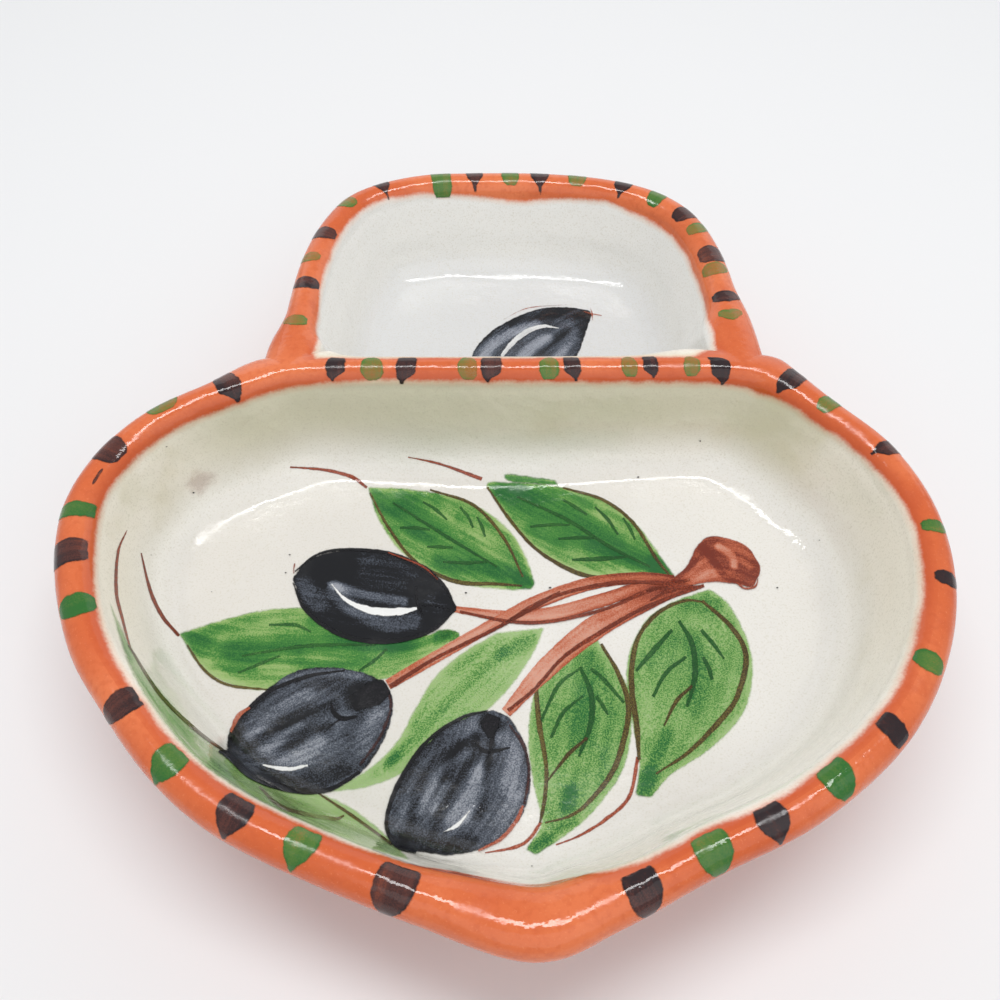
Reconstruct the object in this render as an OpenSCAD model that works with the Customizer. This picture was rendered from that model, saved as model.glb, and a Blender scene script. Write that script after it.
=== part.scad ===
// Hand-made olive dish: a large bowl for the olives with a cup for the stones luted to its back.
// Red clay, lined with white slip and painted with an olive sprig. Millimetres, Z up, X right.
// The front point is at -Y and the stone cup at +Y. The origin is under the middle of the dish.

/* [Dish] */
// Overall width across the large bowl
dish_w = 182; // [150:1:220]
// Length from the front point to the ridge of the divider
bowl_l = 124; // [105:1:150]
// Length from the ridge of the divider to the back of the stone cup
cup_l = 76; // [60:1:95]
// Width of the stone cup over its rim
cup_w = 113; // [90:1:125]
// Sideways place of the stone cup's middle
cup_shift = 3.4; // [0:0.2:6]
// Height of the rim above the table
rim_h = 36.5; // [33:0.5:50]

/* [Clay] */
// Thickness of the rolled rim
rim_t = 8; // [6:0.25:10]
// Depth of the large bowl below the rim
bowl_depth = 29; // [22:0.5:29]
// Depth of the stone cup below the rim
cup_depth = 26; // [18:0.5:27]
// How far the inner wall leans in from the rim to the floor
wall_lean = 14; // [10:0.5:18]
// How far the outer wall leans in from the rim to the foot
outer_lean = 11; // [7:0.5:14]
// Rise of the floor from its middle to the foot of the wall
floor_rise = 1.2; // [0.5:0.1:2]
// Clay that fills out the outer corner where the two bowls meet
web_fill = 4; // [1:0.25:6]
// Clay that rounds the inner corners of the stone cup
corner_fill = 5; // [1:0.25:7]
// Extra width of the rim at the front point
point_fill = 2.5; // [0:0.25:4]
// Height of the feet
foot_h = 2.5; // [1.5:0.25:4]
// Width of the clay ring of each foot
foot_w = 6; // [4:0.5:9]
// How far each foot is set in from the edge of the base
foot_inset = 3; // [1:0.5:6]

/* [Coats] */
// Thickness of the white slip lining
slip_t = 0.5; // [0.3:0.05:1]
// Thickness of one coat of paint
paint_t = 0.15; // [0.1:0.01:0.25]
// Gap between one coat of paint and the next
coat_gap = 0.03; // [0.02:0.01:0.06]
// Width of an outline brush stroke
line_w = 1; // [0.7:0.05:1.5]
// Width of a fine brush stroke
fine_w = 0.6; // [0.4:0.05:1]
// Length along the rim of a dark dab
dark_dab_w = 5.5; // [3:0.25:8]
// Length along the rim of a green dab
green_dab_w = 5; // [3:0.25:8]

/* [Hidden] */

clay = [0.80, 0.38, 0.18];
slip = [0.93, 0.92, 0.86];
dark_green = [0.13, 0.42, 0.14];
light_green = [0.42, 0.62, 0.28];
black = [0.12, 0.12, 0.14];
grey = [0.30, 0.31, 0.34];
brown = [0.55, 0.20, 0.09];
dark_brown = [0.20, 0.10, 0.08];
white = [0.97, 0.97, 0.95];

// Points on a curve between two outline points
steps = 3;
rim_r = rim_t / 2;
half_w = dish_w / 2 - rim_r;
ridge_l = bowl_l - rim_r;
front_y = rim_r - (bowl_l + cup_l) / 2;
divider_y = front_y + ridge_l;
half_cup = cup_w / 2 - rim_r;
cup_ridge_l = cup_l - rim_r;
neck_z = rim_h - 2.25 * rim_r;
bowl_mid = [0, front_y + 0.52 * ridge_l];
cup_mid = [cup_shift, divider_y + cup_ridge_l / 2];
// Size of one step when a slope is measured
probe = rim_t / 20;

// Ridge of the large bowl, anticlockwise from the front point: x of half the width, y of the ridge length
bowl_shares = [
    [0.06, 0], [0.20, 0.035], [0.39, 0.102], [0.59, 0.168], [0.78, 0.269], [0.905, 0.385], [0.982, 0.52],
    [0.998, 0.66], [0.95, 0.785], [0.86, 0.875], [0.76, 0.955], [0.65, 0.997], [0.40, 1.002], [0.10, 1],
    [-0.20, 1], [-0.42, 0.999], [-0.57, 0.99], [-0.70, 0.948], [-0.805, 0.907], [-0.90, 0.85],
    [-0.972, 0.765], [-1, 0.665], [-0.968, 0.545], [-0.89, 0.42], [-0.79, 0.326], [-0.66, 0.225],
    [-0.52, 0.152], [-0.33, 0.092], [-0.13, 0.04]
];
// The outline points where the stone cup's rim joins the ridge of the large bowl
right_join = 11;
left_join = 16;
// Ridge of the stone cup between those joints: x of half its width, y of its ridge length
cup_shares = [
    [0.995, 0.27], [0.985, 0.46], [0.94, 0.65], [0.855, 0.795], [0.72, 0.89], [0.54, 0.95], [0.32, 0.985],
    [0.07, 1], [-0.20, 1], [-0.45, 0.99], [-0.66, 0.942], [-0.82, 0.86], [-0.92, 0.71], [-0.975, 0.52],
    [-0.992, 0.33], [-0.995, 0.16]
];
// Inner wall from the rim to the floor: lean, and drop
wall_shares = [[0, 0], [0.115, 0.21], [0.245, 0.44], [0.37, 0.70], [0.515, 0.855], [0.73, 0.955], [1, 1]];
// Rings of the floor from the foot of the wall to the middle
floor_shares = [0.75, 0.5, 0.25];
// Outer wall from the rim to the base: lean, and drop
outer_shares = [[0, 0], [0.35, 0.40], [0.65, 0.73], [0.90, 0.96], [1, 1]];
bead_angles = [60, 30, 0];
under_bead_angles = [60, 30, 0, -30];

bowl_points = [for (s = bowl_shares) [half_w * s.x, front_y + ridge_l * s.y]];
cup_points = concat(
    [bowl_points[right_join]],
    [for (s = cup_shares) [cup_shift + half_cup * s.x, divider_y + cup_ridge_l * s.y]],
    [bowl_points[left_join]]);
bowl_n = len(bowl_points);
cup_n = len(cup_points);
outer_spans = bowl_n - left_join + right_join;
divider_spans = left_join - right_join;
// Ways out of the dish, and into the stone cup, at the left and right joints
out_way = [unit([-0.78, 0.62]), unit([0.74, 0.67])];
in_way = [unit([0.72, 0.69]), unit([-0.72, 0.69])];

function unit(v) = v / norm(v);
function ease(t) = let(c = min(1, max(0, t))) c * c * (3 - 2 * c);
function mix(a, b, t) = a * (1 - t) + b * t;

// A smooth curve through points: place and direction at t between b and c
function curve_at(a, b, c, d, t) =
    (2 * b + (c - a) * t + (2 * a - 5 * b + 4 * c - d) * t * t + (3 * b - a - 3 * c + d) * t * t * t) / 2;
function curve_way(a, b, c, d, t) =
    unit((c - a) + 2 * (2 * a - 5 * b + 4 * c - d) * t + 3 * (3 * b - a - 3 * c + d) * t * t);
function left_of(v) = [-v.y, v.x];

function bowl_span(u) = let(s = floor(u), n = bowl_n)
    [for (k = [-1:2]) bowl_points[(s + k + n) % n]];
function bowl_at(u) = let(p = bowl_span(u)) curve_at(p[0], p[1], p[2], p[3], u - floor(u));
function bowl_in(u) = let(p = bowl_span(u)) left_of(curve_way(p[0], p[1], p[2], p[3], u - floor(u)));

function cup_point(i) =
    i < 0 ? 2 * cup_points[0] - cup_points[1] :
    i >= cup_n ? 2 * cup_points[cup_n - 1] - cup_points[cup_n - 2] : cup_points[i];
function cup_span(u) = let(s = min(floor(u), cup_n - 2)) [for (k = [-1:2]) cup_point(s + k)];
function cup_at(u) = let(p = cup_span(u))
    u == cup_n - 1 ? p[2] : curve_at(p[0], p[1], p[2], p[3], u - min(floor(u), cup_n - 2));
function cup_in(u) = let(p = cup_span(u))
    left_of(curve_way(p[0], p[1], p[2], p[3], u - min(floor(u), cup_n - 2)));

// One entry of a ridge loop: place, way in, whether it is on the divider, spans to the joint, which joint
bowl_loop = concat(
    [for (j = [0:outer_spans * steps]) let(u = left_join + j / steps, left = j < outer_spans * steps / 2)
        [bowl_at(u), bowl_in(u), false, min(j, outer_spans * steps - j) / steps, left ? 0 : 1]],
    [for (j = [0:divider_spans * steps]) let(u = right_join + j / steps, right = j < divider_spans * steps / 2)
        [bowl_at(u), bowl_in(u), true, min(j, divider_spans * steps - j) / steps, right ? 1 : 0]]);
cup_loop = concat(
    [for (j = [0:(cup_n - 1) * steps]) let(u = j / steps, right = j < (cup_n - 1) * steps / 2)
        [cup_at(u), cup_in(u), false, min(j, (cup_n - 1) * steps - j) / steps, right ? 1 : 0]],
    [for (j = [0:divider_spans * steps]) let(u = left_join - j / steps, left = j < divider_spans * steps / 2)
        [bowl_at(u), -bowl_in(u), true, min(j, divider_spans * steps - j) / steps, left ? 0 : 1]]);

// How far the inner edge of the rim lies from the ridge, as a vector
function bowl_edge(e) = let(front = ease(1 - norm(e[0] - bowl_points[0]) / (6 * rim_r)))
    e[1] * (rim_r + point_fill * front);
function cup_edge(e) = let(b = ease(1 - e[3] / 1.3))
    unit(mix(e[1], in_way[e[4]], b)) * (rim_r + corner_fill * b);

// Rings of the inner face from the ridge down to the floor, each a list of points
function inner_rings(loop, edges, mid, depth) =
    let(edge = [for (i = [0:len(loop) - 1]) loop[i][0] + edges[i]],
        top = rim_h - rim_r,
        drop = depth - rim_r - floor_rise)
    concat(
        [[for (e = loop) [e[0].x, e[0].y, rim_h]]],
        [for (f = bead_angles) [for (i = [0:len(loop) - 1]) let(p = loop[i][0] + edges[i] * cos(f))
            [p.x, p.y, top + rim_r * sin(f)]]],
        [for (k = [1:len(wall_shares) - 1]) let(s = wall_shares[k])
            [for (p = edge) let(q = p + unit(mid - p) * wall_lean * s.x) [q.x, q.y, top - drop * s.y]]],
        [for (r = floor_shares) [for (p = edge) let(q = mix(mid, p + unit(mid - p) * wall_lean, r))
            [q.x, q.y, rim_h - depth + floor_rise * r * r]]]);

// A point of the rim's outer half: out is the distance outside the ridge, and joint_out the same at a joint
joint_spans = 1.8;
function outer_bead(e, out, joint_out, z) =
    let(b = ease(1 - e[3] / joint_spans),
        way = unit(mix(-e[1], out_way[e[4]], b)),
        p = e[2] ? e[0] : e[0] + way * mix(out, joint_out, b))
    [p.x, p.y, z];
// A point of the outer wall, which leans in towards the middle, but stays out at a joint
function outer_wall(e, mid, lean, joint_out, z) =
    let(b = ease(1 - e[3] / joint_spans),
        p = e[2] ? e[0] : mix(e[0] + unit(mid - e[0]) * lean, e[0] + out_way[e[4]] * joint_out, b))
    [p.x, p.y, z];
function outer_rings(loop, mid) = concat(
    [for (f = under_bead_angles) [for (e = loop)
        outer_bead(e, rim_r * cos(f), (rim_r + web_fill) * cos(f), rim_h - rim_r + rim_r * sin(f))]],
    [for (s = outer_shares) [for (e = loop)
        outer_wall(e, mid, mix(-rim_r / 2, outer_lean, s.x), mix(0.8 * (rim_r + web_fill), rim_r / 5, s.x),
            mix(neck_z, foot_h, s.y))]]);

bowl_edges = [for (e = bowl_loop) bowl_edge(e)];
cup_edges = [for (e = cup_loop) cup_edge(e)];
bowl_inner = inner_rings(bowl_loop, bowl_edges, bowl_mid, bowl_depth);
cup_inner = inner_rings(cup_loop, cup_edges, cup_mid, cup_depth);

function backwards(list) = [for (i = [len(list) - 1:-1:0]) list[i]];

// A closed solid of rings between two end points. Triangles with two equal corners are left out.
module ring_solid(first, rings, last, turned = false) {
    n = len(rings[0]);
    points = concat([first], [for (r = rings) for (p = r) p], [last]);
    end = len(points) - 1;
    quads = [for (k = [0:len(rings) - 2]) for (i = [0:n - 1])
        let(j = (i + 1) % n, a = 1 + k * n + i, b = 1 + k * n + j, c = b + n, d = a + n)
        each [[a, b, c], [a, c, d]]];
    caps = [for (i = [0:n - 1]) let(j = (i + 1) % n, base = 1 + (len(rings) - 1) * n)
        each [[0, 1 + j, 1 + i], [end, base + i, base + j]]];
    whole = [for (t = concat(quads, caps))
        if (points[t[0]] != points[t[1]] && points[t[1]] != points[t[2]] && points[t[2]] != points[t[0]])
            turned ? [t[0], t[2], t[1]] : t];
    polyhedron(points, whole);
}

module clay_bowl(loop, inner, mid, depth) {
    outer = outer_rings(loop, mid);
    ring_solid([mid.x, mid.y, rim_h - depth], concat(backwards(inner), outer), [mid.x, mid.y, foot_h]);
}
module large_bowl() { color(clay) clay_bowl(bowl_loop, bowl_inner, bowl_mid, bowl_depth); }
module stone_cup() { color(clay) clay_bowl(cup_loop, cup_inner, cup_mid, cup_depth); }

// The foot is a ring whose outline is that of the rim, drawn in towards its middle and clear of the joints
foot_start_spans = 0.9;
function foot_outline(loop, mid, inset) = [for (e = loop) if (!e[2] && e[3] > foot_start_spans)
    e[0] + unit(mid - e[0]) * (outer_lean + inset)];
module foot(loop, mid) {
    linear_extrude(foot_h) difference() {
        polygon(foot_outline(loop, mid, foot_inset));
        polygon(foot_outline(loop, mid, foot_inset + foot_w));
    }
}
module bowl_foot() { color(clay) foot(bowl_loop, bowl_mid); }
module cup_foot() { color(clay) foot(cup_loop, cup_mid); }

// The slip lies on the clay from the inner edge of the rim down, and thins to nothing at that edge
function slip_rings(loop, edges, mid, depth) =
    let(edge = [for (i = [0:len(loop) - 1]) loop[i][0] + edges[i]],
        top = rim_h - rim_r,
        drop = depth - rim_r - floor_rise,
        last = len(wall_shares) - 1)
    concat(
        [for (k = [1:last]) let(
            a = wall_shares[k - 1], b = wall_shares[min(last, k + 1)], s = wall_shares[k],
            way = unit([(b.y - a.y) * drop, (b.x - a.x) * wall_lean]))
            [for (p = edge) let(q = p + unit(mid - p) * (wall_lean * s.x + slip_t * way.x))
                [q.x, q.y, top - drop * s.y + slip_t * way.y]]],
        [for (r = floor_shares) [for (p = edge) let(q = mix(mid, p + unit(mid - p) * wall_lean, r))
            [q.x, q.y, rim_h - depth + floor_rise * r * r + slip_t]]]);
module slip_lining(loop, edges, inner, mid, depth) {
    lower = [for (k = [len(bead_angles):len(inner) - 1]) inner[k]];
    upper = slip_rings(loop, edges, mid, depth);
    ring_solid([mid.x, mid.y, rim_h - depth], concat(backwards(lower), upper),
        [mid.x, mid.y, rim_h - depth + slip_t], true);
}
module bowl_slip() { color(slip) slip_lining(bowl_loop, bowl_edges, bowl_inner, bowl_mid, bowl_depth); }
module cup_slip() { color(slip) slip_lining(cup_loop, cup_edges, cup_inner, cup_mid, cup_depth); }

// Height of the slip's face over any point of a bowl, from the distance to the rim's inner edge
function turn_from(start, v) = let(a = atan2(v.y, v.x)) a < start ? a + 360 : a;
// The rim's inner edge as seen from the middle, once round
function inner_edge(loop, edges, mid) =
    let(all = [for (i = [0:len(loop) - 1]) loop[i][0] + edges[i] - mid], n = len(all))
    [for (i = [0:n - 1]) if (norm(all[i] - all[(i + 1) % n]) > 0) all[i]];
function turn_table(edge) = let(start = atan2(edge[0].y, edge[0].x))
    concat([for (i = [0:len(edge) - 1]) [turn_from(start, edge[i]), i]], [[start + 360, len(edge)]]);
bowl_edge_points = inner_edge(bowl_loop, bowl_edges, bowl_mid);
cup_edge_points = inner_edge(cup_loop, cup_edges, cup_mid);
bowl_table = turn_table(bowl_edge_points);
cup_table = turn_table(cup_edge_points);
// Distance from the middle to that edge, in the direction of v
function reach_at(edge, table, v) =
    let(i = min(floor(lookup(turn_from(table[0][0], v), table)), len(edge) - 1),
        a = edge[i], b = edge[(i + 1) % len(edge)])
    cross(a, b - a) / cross(unit(v), b - a);
function wall_table(depth) = let(drop = depth - rim_r - floor_rise)
    [for (s = wall_shares) [wall_lean * s.x, rim_h - rim_r - drop * s.y]];
bowl_wall = wall_table(bowl_depth);
cup_wall = wall_table(cup_depth);
function face_z(in_cup, p) =
    let(mid = in_cup ? cup_mid : bowl_mid,
        v = p - mid,
        reach = in_cup ? reach_at(cup_edge_points, cup_table, v) : reach_at(bowl_edge_points, bowl_table, v),
        inset = reach - norm(v),
        share = norm(v) / (reach - wall_lean),
        depth = in_cup ? cup_depth : bowl_depth)
    inset >= wall_lean ? rim_h - depth + floor_rise * share * share :
        lookup(inset, in_cup ? cup_wall : bowl_wall);
// A point at a height above the slip, square to its face
function over_slip(in_cup, p, height) =
    let(z = face_z(in_cup, p),
        rise_x = (face_z(in_cup, p + [probe, 0]) - face_z(in_cup, p - [probe, 0])) / (2 * probe),
        rise_y = (face_z(in_cup, p + [0, probe]) - face_z(in_cup, p - [0, probe])) / (2 * probe))
    [p.x, p.y, z] + (slip_t + height) * unit([-rise_x, -rise_y, 1]);
function coat_z(coat) = coat_gap + coat * (paint_t + coat_gap);

// A closed sheet between two matching grids of points
module sheet(lower, upper) {
    rows = len(lower);
    cols = len(lower[0]);
    half = rows * cols;
    points = concat([for (r = lower) for (p = r) p], [for (r = upper) for (p = r) p]);
    faces = [for (i = [0:rows - 2]) for (j = [0:cols - 2])
        let(a = i * cols + j, b = a + 1, c = b + cols, d = a + cols)
        each [[a, c, b], [a, d, c], [half + a, half + b, half + c], [half + a, half + c, half + d]]];
    ring = concat([for (j = [0:cols - 1]) j], [for (i = [1:rows - 1]) i * cols + cols - 1],
        [for (j = [cols - 2:-1:0]) (rows - 1) * cols + j], [for (i = [rows - 2:-1:1]) i * cols]);
    sides = [for (i = [0:len(ring) - 1]) let(a = ring[i], b = ring[(i + 1) % len(ring)])
        each [[a, b, half + b], [a, half + b, half + a]]];
    polyhedron(points, concat(faces, sides));
}
// Paint over a grid of plan points
module coat_on(in_cup, plan, coat) {
    sheet([for (r = plan) [for (p = r) over_slip(in_cup, p, coat_z(coat))]],
        [for (r = plan) [for (p = r) over_slip(in_cup, p, coat_z(coat) + paint_t)]]);
}

// Places of the sprig are shares of half the bowl's width and half its ridge length, from its middle
function in_bowl(s) = bowl_mid + [half_w * s.x, ridge_l / 2 * s.y];
function in_cup_at(s) = cup_mid + [half_cup * s.x, cup_ridge_l / 2 * s.y];
// A place on a bent axis: t along it, across in its own width
function on_axis(from, to, bow, t, across) =
    let(way = unit(to - from), side = left_of(way))
    mix(from, to, t) + side * (across + bow * norm(to - from) * sin(180 * t));
// Breadth of a leaf or an olive along its axis, fullest at the belly
function swell(t, belly, blunt) = pow(sin(180 * pow(t, ln(0.5) / ln(belly))), blunt);

leaf_rows = 9;
leaf_cols = 3;
function leaf_plan(from, to, breadth, bow, belly, rows = leaf_rows) =
    [for (i = [0:rows]) let(t = i / rows, b = norm(to - from) * breadth
        * max(0.04, swell(t, belly, 0.85)))
        [for (j = [0:leaf_cols]) on_axis(from, to, bow, t, b * (2 * j / leaf_cols - 1))]];
// Leaves: from, to, half breadth of length, bow of length, belly
leaf_back_left_shares = [[0.08, 0.24], [-0.38, 0.69], 0.20, 0.02, 0.50];
leaf_back_right_shares = [[0.46, 0.27], [-0.05, 0.71], 0.21, 0.02, 0.50];
leaf_left_shares = [[-0.10, 0.03], [-0.81, 0.03], 0.16, 0.04, 0.55];
leaf_middle_shares = [[0.115, 0.08], [-0.38, -0.56], 0.11, 0.01, 0.40];
leaf_wall_shares = [[-0.885, -0.04], [-0.19, -0.83], 0.055, -0.035, 0.55];
leaf_front_shares = [[0.24, 0.03], [0.08, -0.73], 0.23, 0.06, 0.42];
leaf_right_shares = [[0.55, 0.23], [0.32, -0.56], 0.25, 0.03, 0.42];
function leaf_points(s, rows = leaf_rows) = leaf_plan(in_bowl(s[0]), in_bowl(s[1]), s[2], s[3], s[4], rows);
module leaf(shares, coat, rows = leaf_rows) { coat_on(false, leaf_points(shares, rows), coat); }
module leaf_back_left() { color(dark_green) leaf(leaf_back_left_shares, 0); }
module leaf_back_right() { color(dark_green) leaf(leaf_back_right_shares, 0); }
module leaf_left() { color(dark_green) leaf(leaf_left_shares, 0); }
module leaf_middle() { color(light_green) leaf(leaf_middle_shares, 1); }
module leaf_wall() { color(light_green) leaf(leaf_wall_shares, 1, 2 * leaf_rows); }
module leaf_front() { color(light_green) leaf(leaf_front_shares, 1); }
module leaf_right() { color(light_green) leaf(leaf_right_shares, 0); }

// A brush stroke through a few points, widest in its middle
stroke_steps = 3;
function route_at(route, u) =
    let(n = len(route), s = min(floor(u), n - 2), b = route[s], c = route[s + 1],
        a = s > 0 ? route[s - 1] : 2 * b - c, d = s < n - 2 ? route[s + 2] : 2 * c - b)
    [curve_at(a, b, c, d, u - s), curve_way(a, b, c, d, u - s)];
function stroke_plan(route, w_start, w_end) =
    let(n = (len(route) - 1) * stroke_steps)
    [for (i = [0:n]) let(q = route_at(route, i / stroke_steps), w = mix(w_start, w_end, i / n) / 2)
        [q[0] - left_of(q[1]) * w, q[0] + left_of(q[1]) * w]];
module stroke(route_shares, w_start, w_end, coat) {
    coat_on(false, stroke_plan([for (s = route_shares) in_bowl(s)], w_start, w_end), coat);
}

stem_w = 2.4 * line_w;
stem_upper_shares = [[0.44, 0.26], [0.37, 0.215], [0.24, 0.11], [0.12, 0.075], [0, 0.085], [-0.11, 0.13]];
stem_middle_shares = [[0.45, 0.265], [0.26, 0.24], [0.15, 0.17], [0, 0.08], [-0.14, -0.01], [-0.27, -0.15]];
stem_lower_shares = [[0.45, 0.24], [0.34, 0.13], [0.20, 0.02], [0.08, -0.13], [0.01, -0.26]];
module stem_upper() { color(brown) stroke(stem_upper_shares, stem_w, stem_w * 0.7, 2); }
module stem_middle() { color(brown) stroke(stem_middle_shares, stem_w, stem_w * 0.8, 3); }
module stem_lower() { color(brown) stroke(stem_lower_shares, stem_w * 1.4, stem_w, 4); }
// The cut end of the twig: it widens from the stems to a knob, in shares of a stroke to each side
twig_stub_shares = [[0.42, 0.245], [0.50, 0.31], [0.56, 0.35], [0.62, 0.35], [0.68, 0.33]];
twig_breadth_shares = [1.2, 2.2, 4.6, 5.6, 3.2];
module twig_stub() {
    ends = [for (s = twig_stub_shares) in_bowl(s)];
    color(brown) coat_on(false, [for (i = [0:len(ends) - 1])
        let(q = route_at(ends, i), w = twig_breadth_shares[i] * line_w)
        [for (j = [-1:1]) q[0] + left_of(q[1]) * w * j]], 5);
}

olive_rows = 12;
olive_cols = 6;
function olive_plan(from, to, breadth, belly) =
    [for (i = [0:olive_rows]) let(t = i / olive_rows,
        b = norm(to - from) * breadth * max(0.05, swell(t, belly, 0.6)))
        [for (j = [0:olive_cols]) on_axis(from, to, 0, t, b * (2 * j / olive_cols - 1))]];
// Olives: stem end, far end, half breadth of length, belly
olive_upper_shares = [[-0.115, 0.145], [-0.55, 0.24], 0.30, 0.52];
olive_left_shares = [[-0.26, -0.15], [-0.64, -0.50], 0.34, 0.52];
olive_front_shares = [[-0.01, -0.26], [-0.14, -0.80], 0.35, 0.55];
olive_in_cup_shares = [[0.43, 0.20], [-0.22, -0.56], 0.27, 0.50];
function olive_points(s) = olive_plan(in_bowl(s[0]), in_bowl(s[1]), s[2], s[3]);
module olive(shares, coat) { coat_on(false, olive_points(shares), coat); }
module olive_upper() { color(black) olive(olive_upper_shares, 3); }
module olive_left() { color(grey) olive(olive_left_shares, 5); }
module olive_front() { color(grey) olive(olive_front_shares, 5); }
module olive_in_cup() {
    s = olive_in_cup_shares;
    color(grey) coat_on(true, olive_plan(in_cup_at(s[0]), in_cup_at(s[1]), s[2], s[3]), 0);
}

// A place on the facets of a grid, at a row and column with fractions, and at a height above them
function on_grid(grid, r, c, height) =
    let(i = min(floor(r), len(grid) - 2), j = min(floor(c), len(grid[0]) - 2), u = r - i, v = c - j,
        p = grid[i][j], next = grid[i][j + 1], far = grid[i + 1][j + 1], below = grid[i + 1][j],
        place = v > u ? p + v * (next - p) + u * (far - next) : p + u * (below - p) + v * (far - below))
    place + height * unit(cross(far - p, next - below));
// A strip of paint on the coat below it. Its route is in shares along that piece, and across from its axis,
// and its half breadth in shares of that piece's: at the ends, and what the middle has more
strip_steps = 4;
module strip_on(plan, coat, route, end_share, belly_share) {
    face = [for (r = plan) [for (p = r) over_slip(false, p, coat_z(coat) + paint_t)]];
    n = (len(route) - 1) * strip_steps;
    function strip(height) = [for (i = [0:n])
        let(q = route_at(route, i / strip_steps)[0], w = end_share + belly_share * sin(180 * i / n))
        [for (side = [-1, 1])
            on_grid(face, q.x * (len(plan) - 1), (1 + q.y + side * w) / 2 * (len(plan[0]) - 1), height)]];
    sheet(strip(2 * coat_gap), strip(2 * coat_gap + paint_t));
}
// The dark strokes on a leaf: along its two sides, and veins from its axis towards them
function half_breadth(shares) = norm(in_bowl(shares[1]) - in_bowl(shares[0])) * shares[2];
module leaf_strip(shares, coat, route, w) {
    strip_on(leaf_points(shares), coat, route, w / 2 / half_breadth(shares), 0);
}
side_shares = [0.06, 0.35, 0.65, 0.94];
side_inset_share = 0.88;
module leaf_outlines() {
    color(dark_brown) for (side = [-side_inset_share, side_inset_share]) {
        leaf_strip(leaf_front_shares, 1, [for (t = side_shares) [t, side]], line_w);
        leaf_strip(leaf_right_shares, 2, [for (t = side_shares) [t, side]], line_w);
    }
}
vein_start_shares = [0.25, 0.45, 0.62];
vein_way_shares = [[0, 0.12], [0.05, 0.30], [0.10, 0.48], [0.15, 0.66]];
module leaf_veins() {
    color(dark_brown) for (start = vein_start_shares) for (side = [-1, 1]) {
        route = [for (s = vein_way_shares) [start + s.x, side * s.y]];
        leaf_strip(leaf_front_shares, 1, route, fine_w);
        leaf_strip(leaf_right_shares, 2, route, fine_w);
    }
}
module olive_cap(shares, coat) {
    from = in_bowl(shares[0]);
    to = in_bowl(shares[1]);
    plan = [for (t = [0.06, 0.14, 0.22]) [for (j = [-1:1]) on_axis(from, to, 0, t, 2 * line_w * j)]];
    coat_on(false, plan, coat);
}
module olive_caps() {
    color(black) {
        olive_cap(olive_left_shares, 6);
        olive_cap(olive_front_shares, 6);
    }
}
// A pale crescent on each olive shows the shine
shine_end_share = 0.03;
shine_belly_share = 0.09;
olive_upper_shine_shares = [[0.22, 0.28], [0.50, 0.42], [0.74, 0.12]];
olive_left_shine_shares = [[0.42, 0.45], [0.63, 0.55], [0.84, 0.35]];
olive_front_shine_shares = [[0.36, 0.30], [0.66, 0.40], [0.86, 0.02]];
module shine(shares, route, coat) {
    strip_on(olive_points(shares), coat, route, shine_end_share, shine_belly_share);
}
module olive_highlights() {
    color(white) {
        shine(olive_upper_shares, olive_upper_shine_shares, 3);
        shine(olive_left_shares, olive_left_shine_shares, 5);
        shine(olive_front_shares, olive_front_shine_shares, 5);
    }
}
fine_stroke_shares = [
    [[-0.59, 0.74], [-0.46, 0.76], [-0.385, 0.71]],
    [[-0.26, 0.79], [-0.14, 0.76], [-0.06, 0.72]],
    [[-0.91, 0.28], [-0.87, 0.13], [-0.81, 0.03]],
    [[0.33, -0.46], [0.29, -0.57], [0.20, -0.67], [0.115, -0.72]],
    [[0.085, -0.74], [0.04, -0.78], [-0.04, -0.80]]
];
module fine_strokes() {
    color(brown) for (s = fine_stroke_shares) stroke(s, fine_w, fine_w, 0);
}

// Dabs straddle the rim: places along the outer rim, the divider and the stone cup's rim
outer_dark_shares = [0.046, 0.16, 0.245, 0.34, 0.42, 0.49, 0.595, 0.65, 0.71, 0.79, 0.875, 0.957];
outer_green_shares = [0.105, 0.213, 0.274, 0.38, 0.453, 0.622, 0.68, 0.745, 0.82, 0.922];
divider_dark_shares = [0.07, 0.205, 0.335, 0.475, 0.635, 0.825];
divider_green_shares = [0.135, 0.27, 0.405, 0.55, 0.73];
cup_dark_shares = [0.09, 0.15, 0.222, 0.344, 0.452, 0.535, 0.653, 0.784, 0.864];
cup_green_shares = [0.12, 0.187, 0.28, 0.397, 0.487, 0.59, 0.72, 0.825, 0.93];
dab_angles = [25, 60, 90, 120, 150];
dab_ways = [-0.5, 0, 0.5];
function dab_point(place, way_in, along, angle, height) =
    let(way = [way_in.y, -way_in.x], r = rim_r + height, p = place + way * along + way_in * r * cos(angle))
    [p.x, p.y, rim_h - rim_r + r * sin(angle)];
module dab(place, way_in, w) {
    function grid(height) = [for (angle = dab_angles) [for (k = dab_ways)
        dab_point(place, way_in, k * w * (1 - 0.3 * abs(cos(angle))), angle, height)]];
    sheet(grid(coat_gap), grid(coat_gap + paint_t));
}
module dabs(outer, divider, cup, w) {
    for (s = outer) let(u = left_join + s * outer_spans) dab(bowl_at(u), bowl_in(u), w);
    for (s = divider) let(u = right_join + s * divider_spans) dab(bowl_at(u), bowl_in(u), w);
    for (s = cup) let(u = s * (cup_n - 1)) dab(cup_at(u), cup_in(u), w);
}
module rim_dabs_dark() {
    color(dark_brown) dabs(outer_dark_shares, divider_dark_shares, cup_dark_shares, dark_dab_w);
}
module rim_dabs_green() {
    color(dark_green) dabs(outer_green_shares, divider_green_shares, cup_green_shares, green_dab_w);
}

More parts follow.
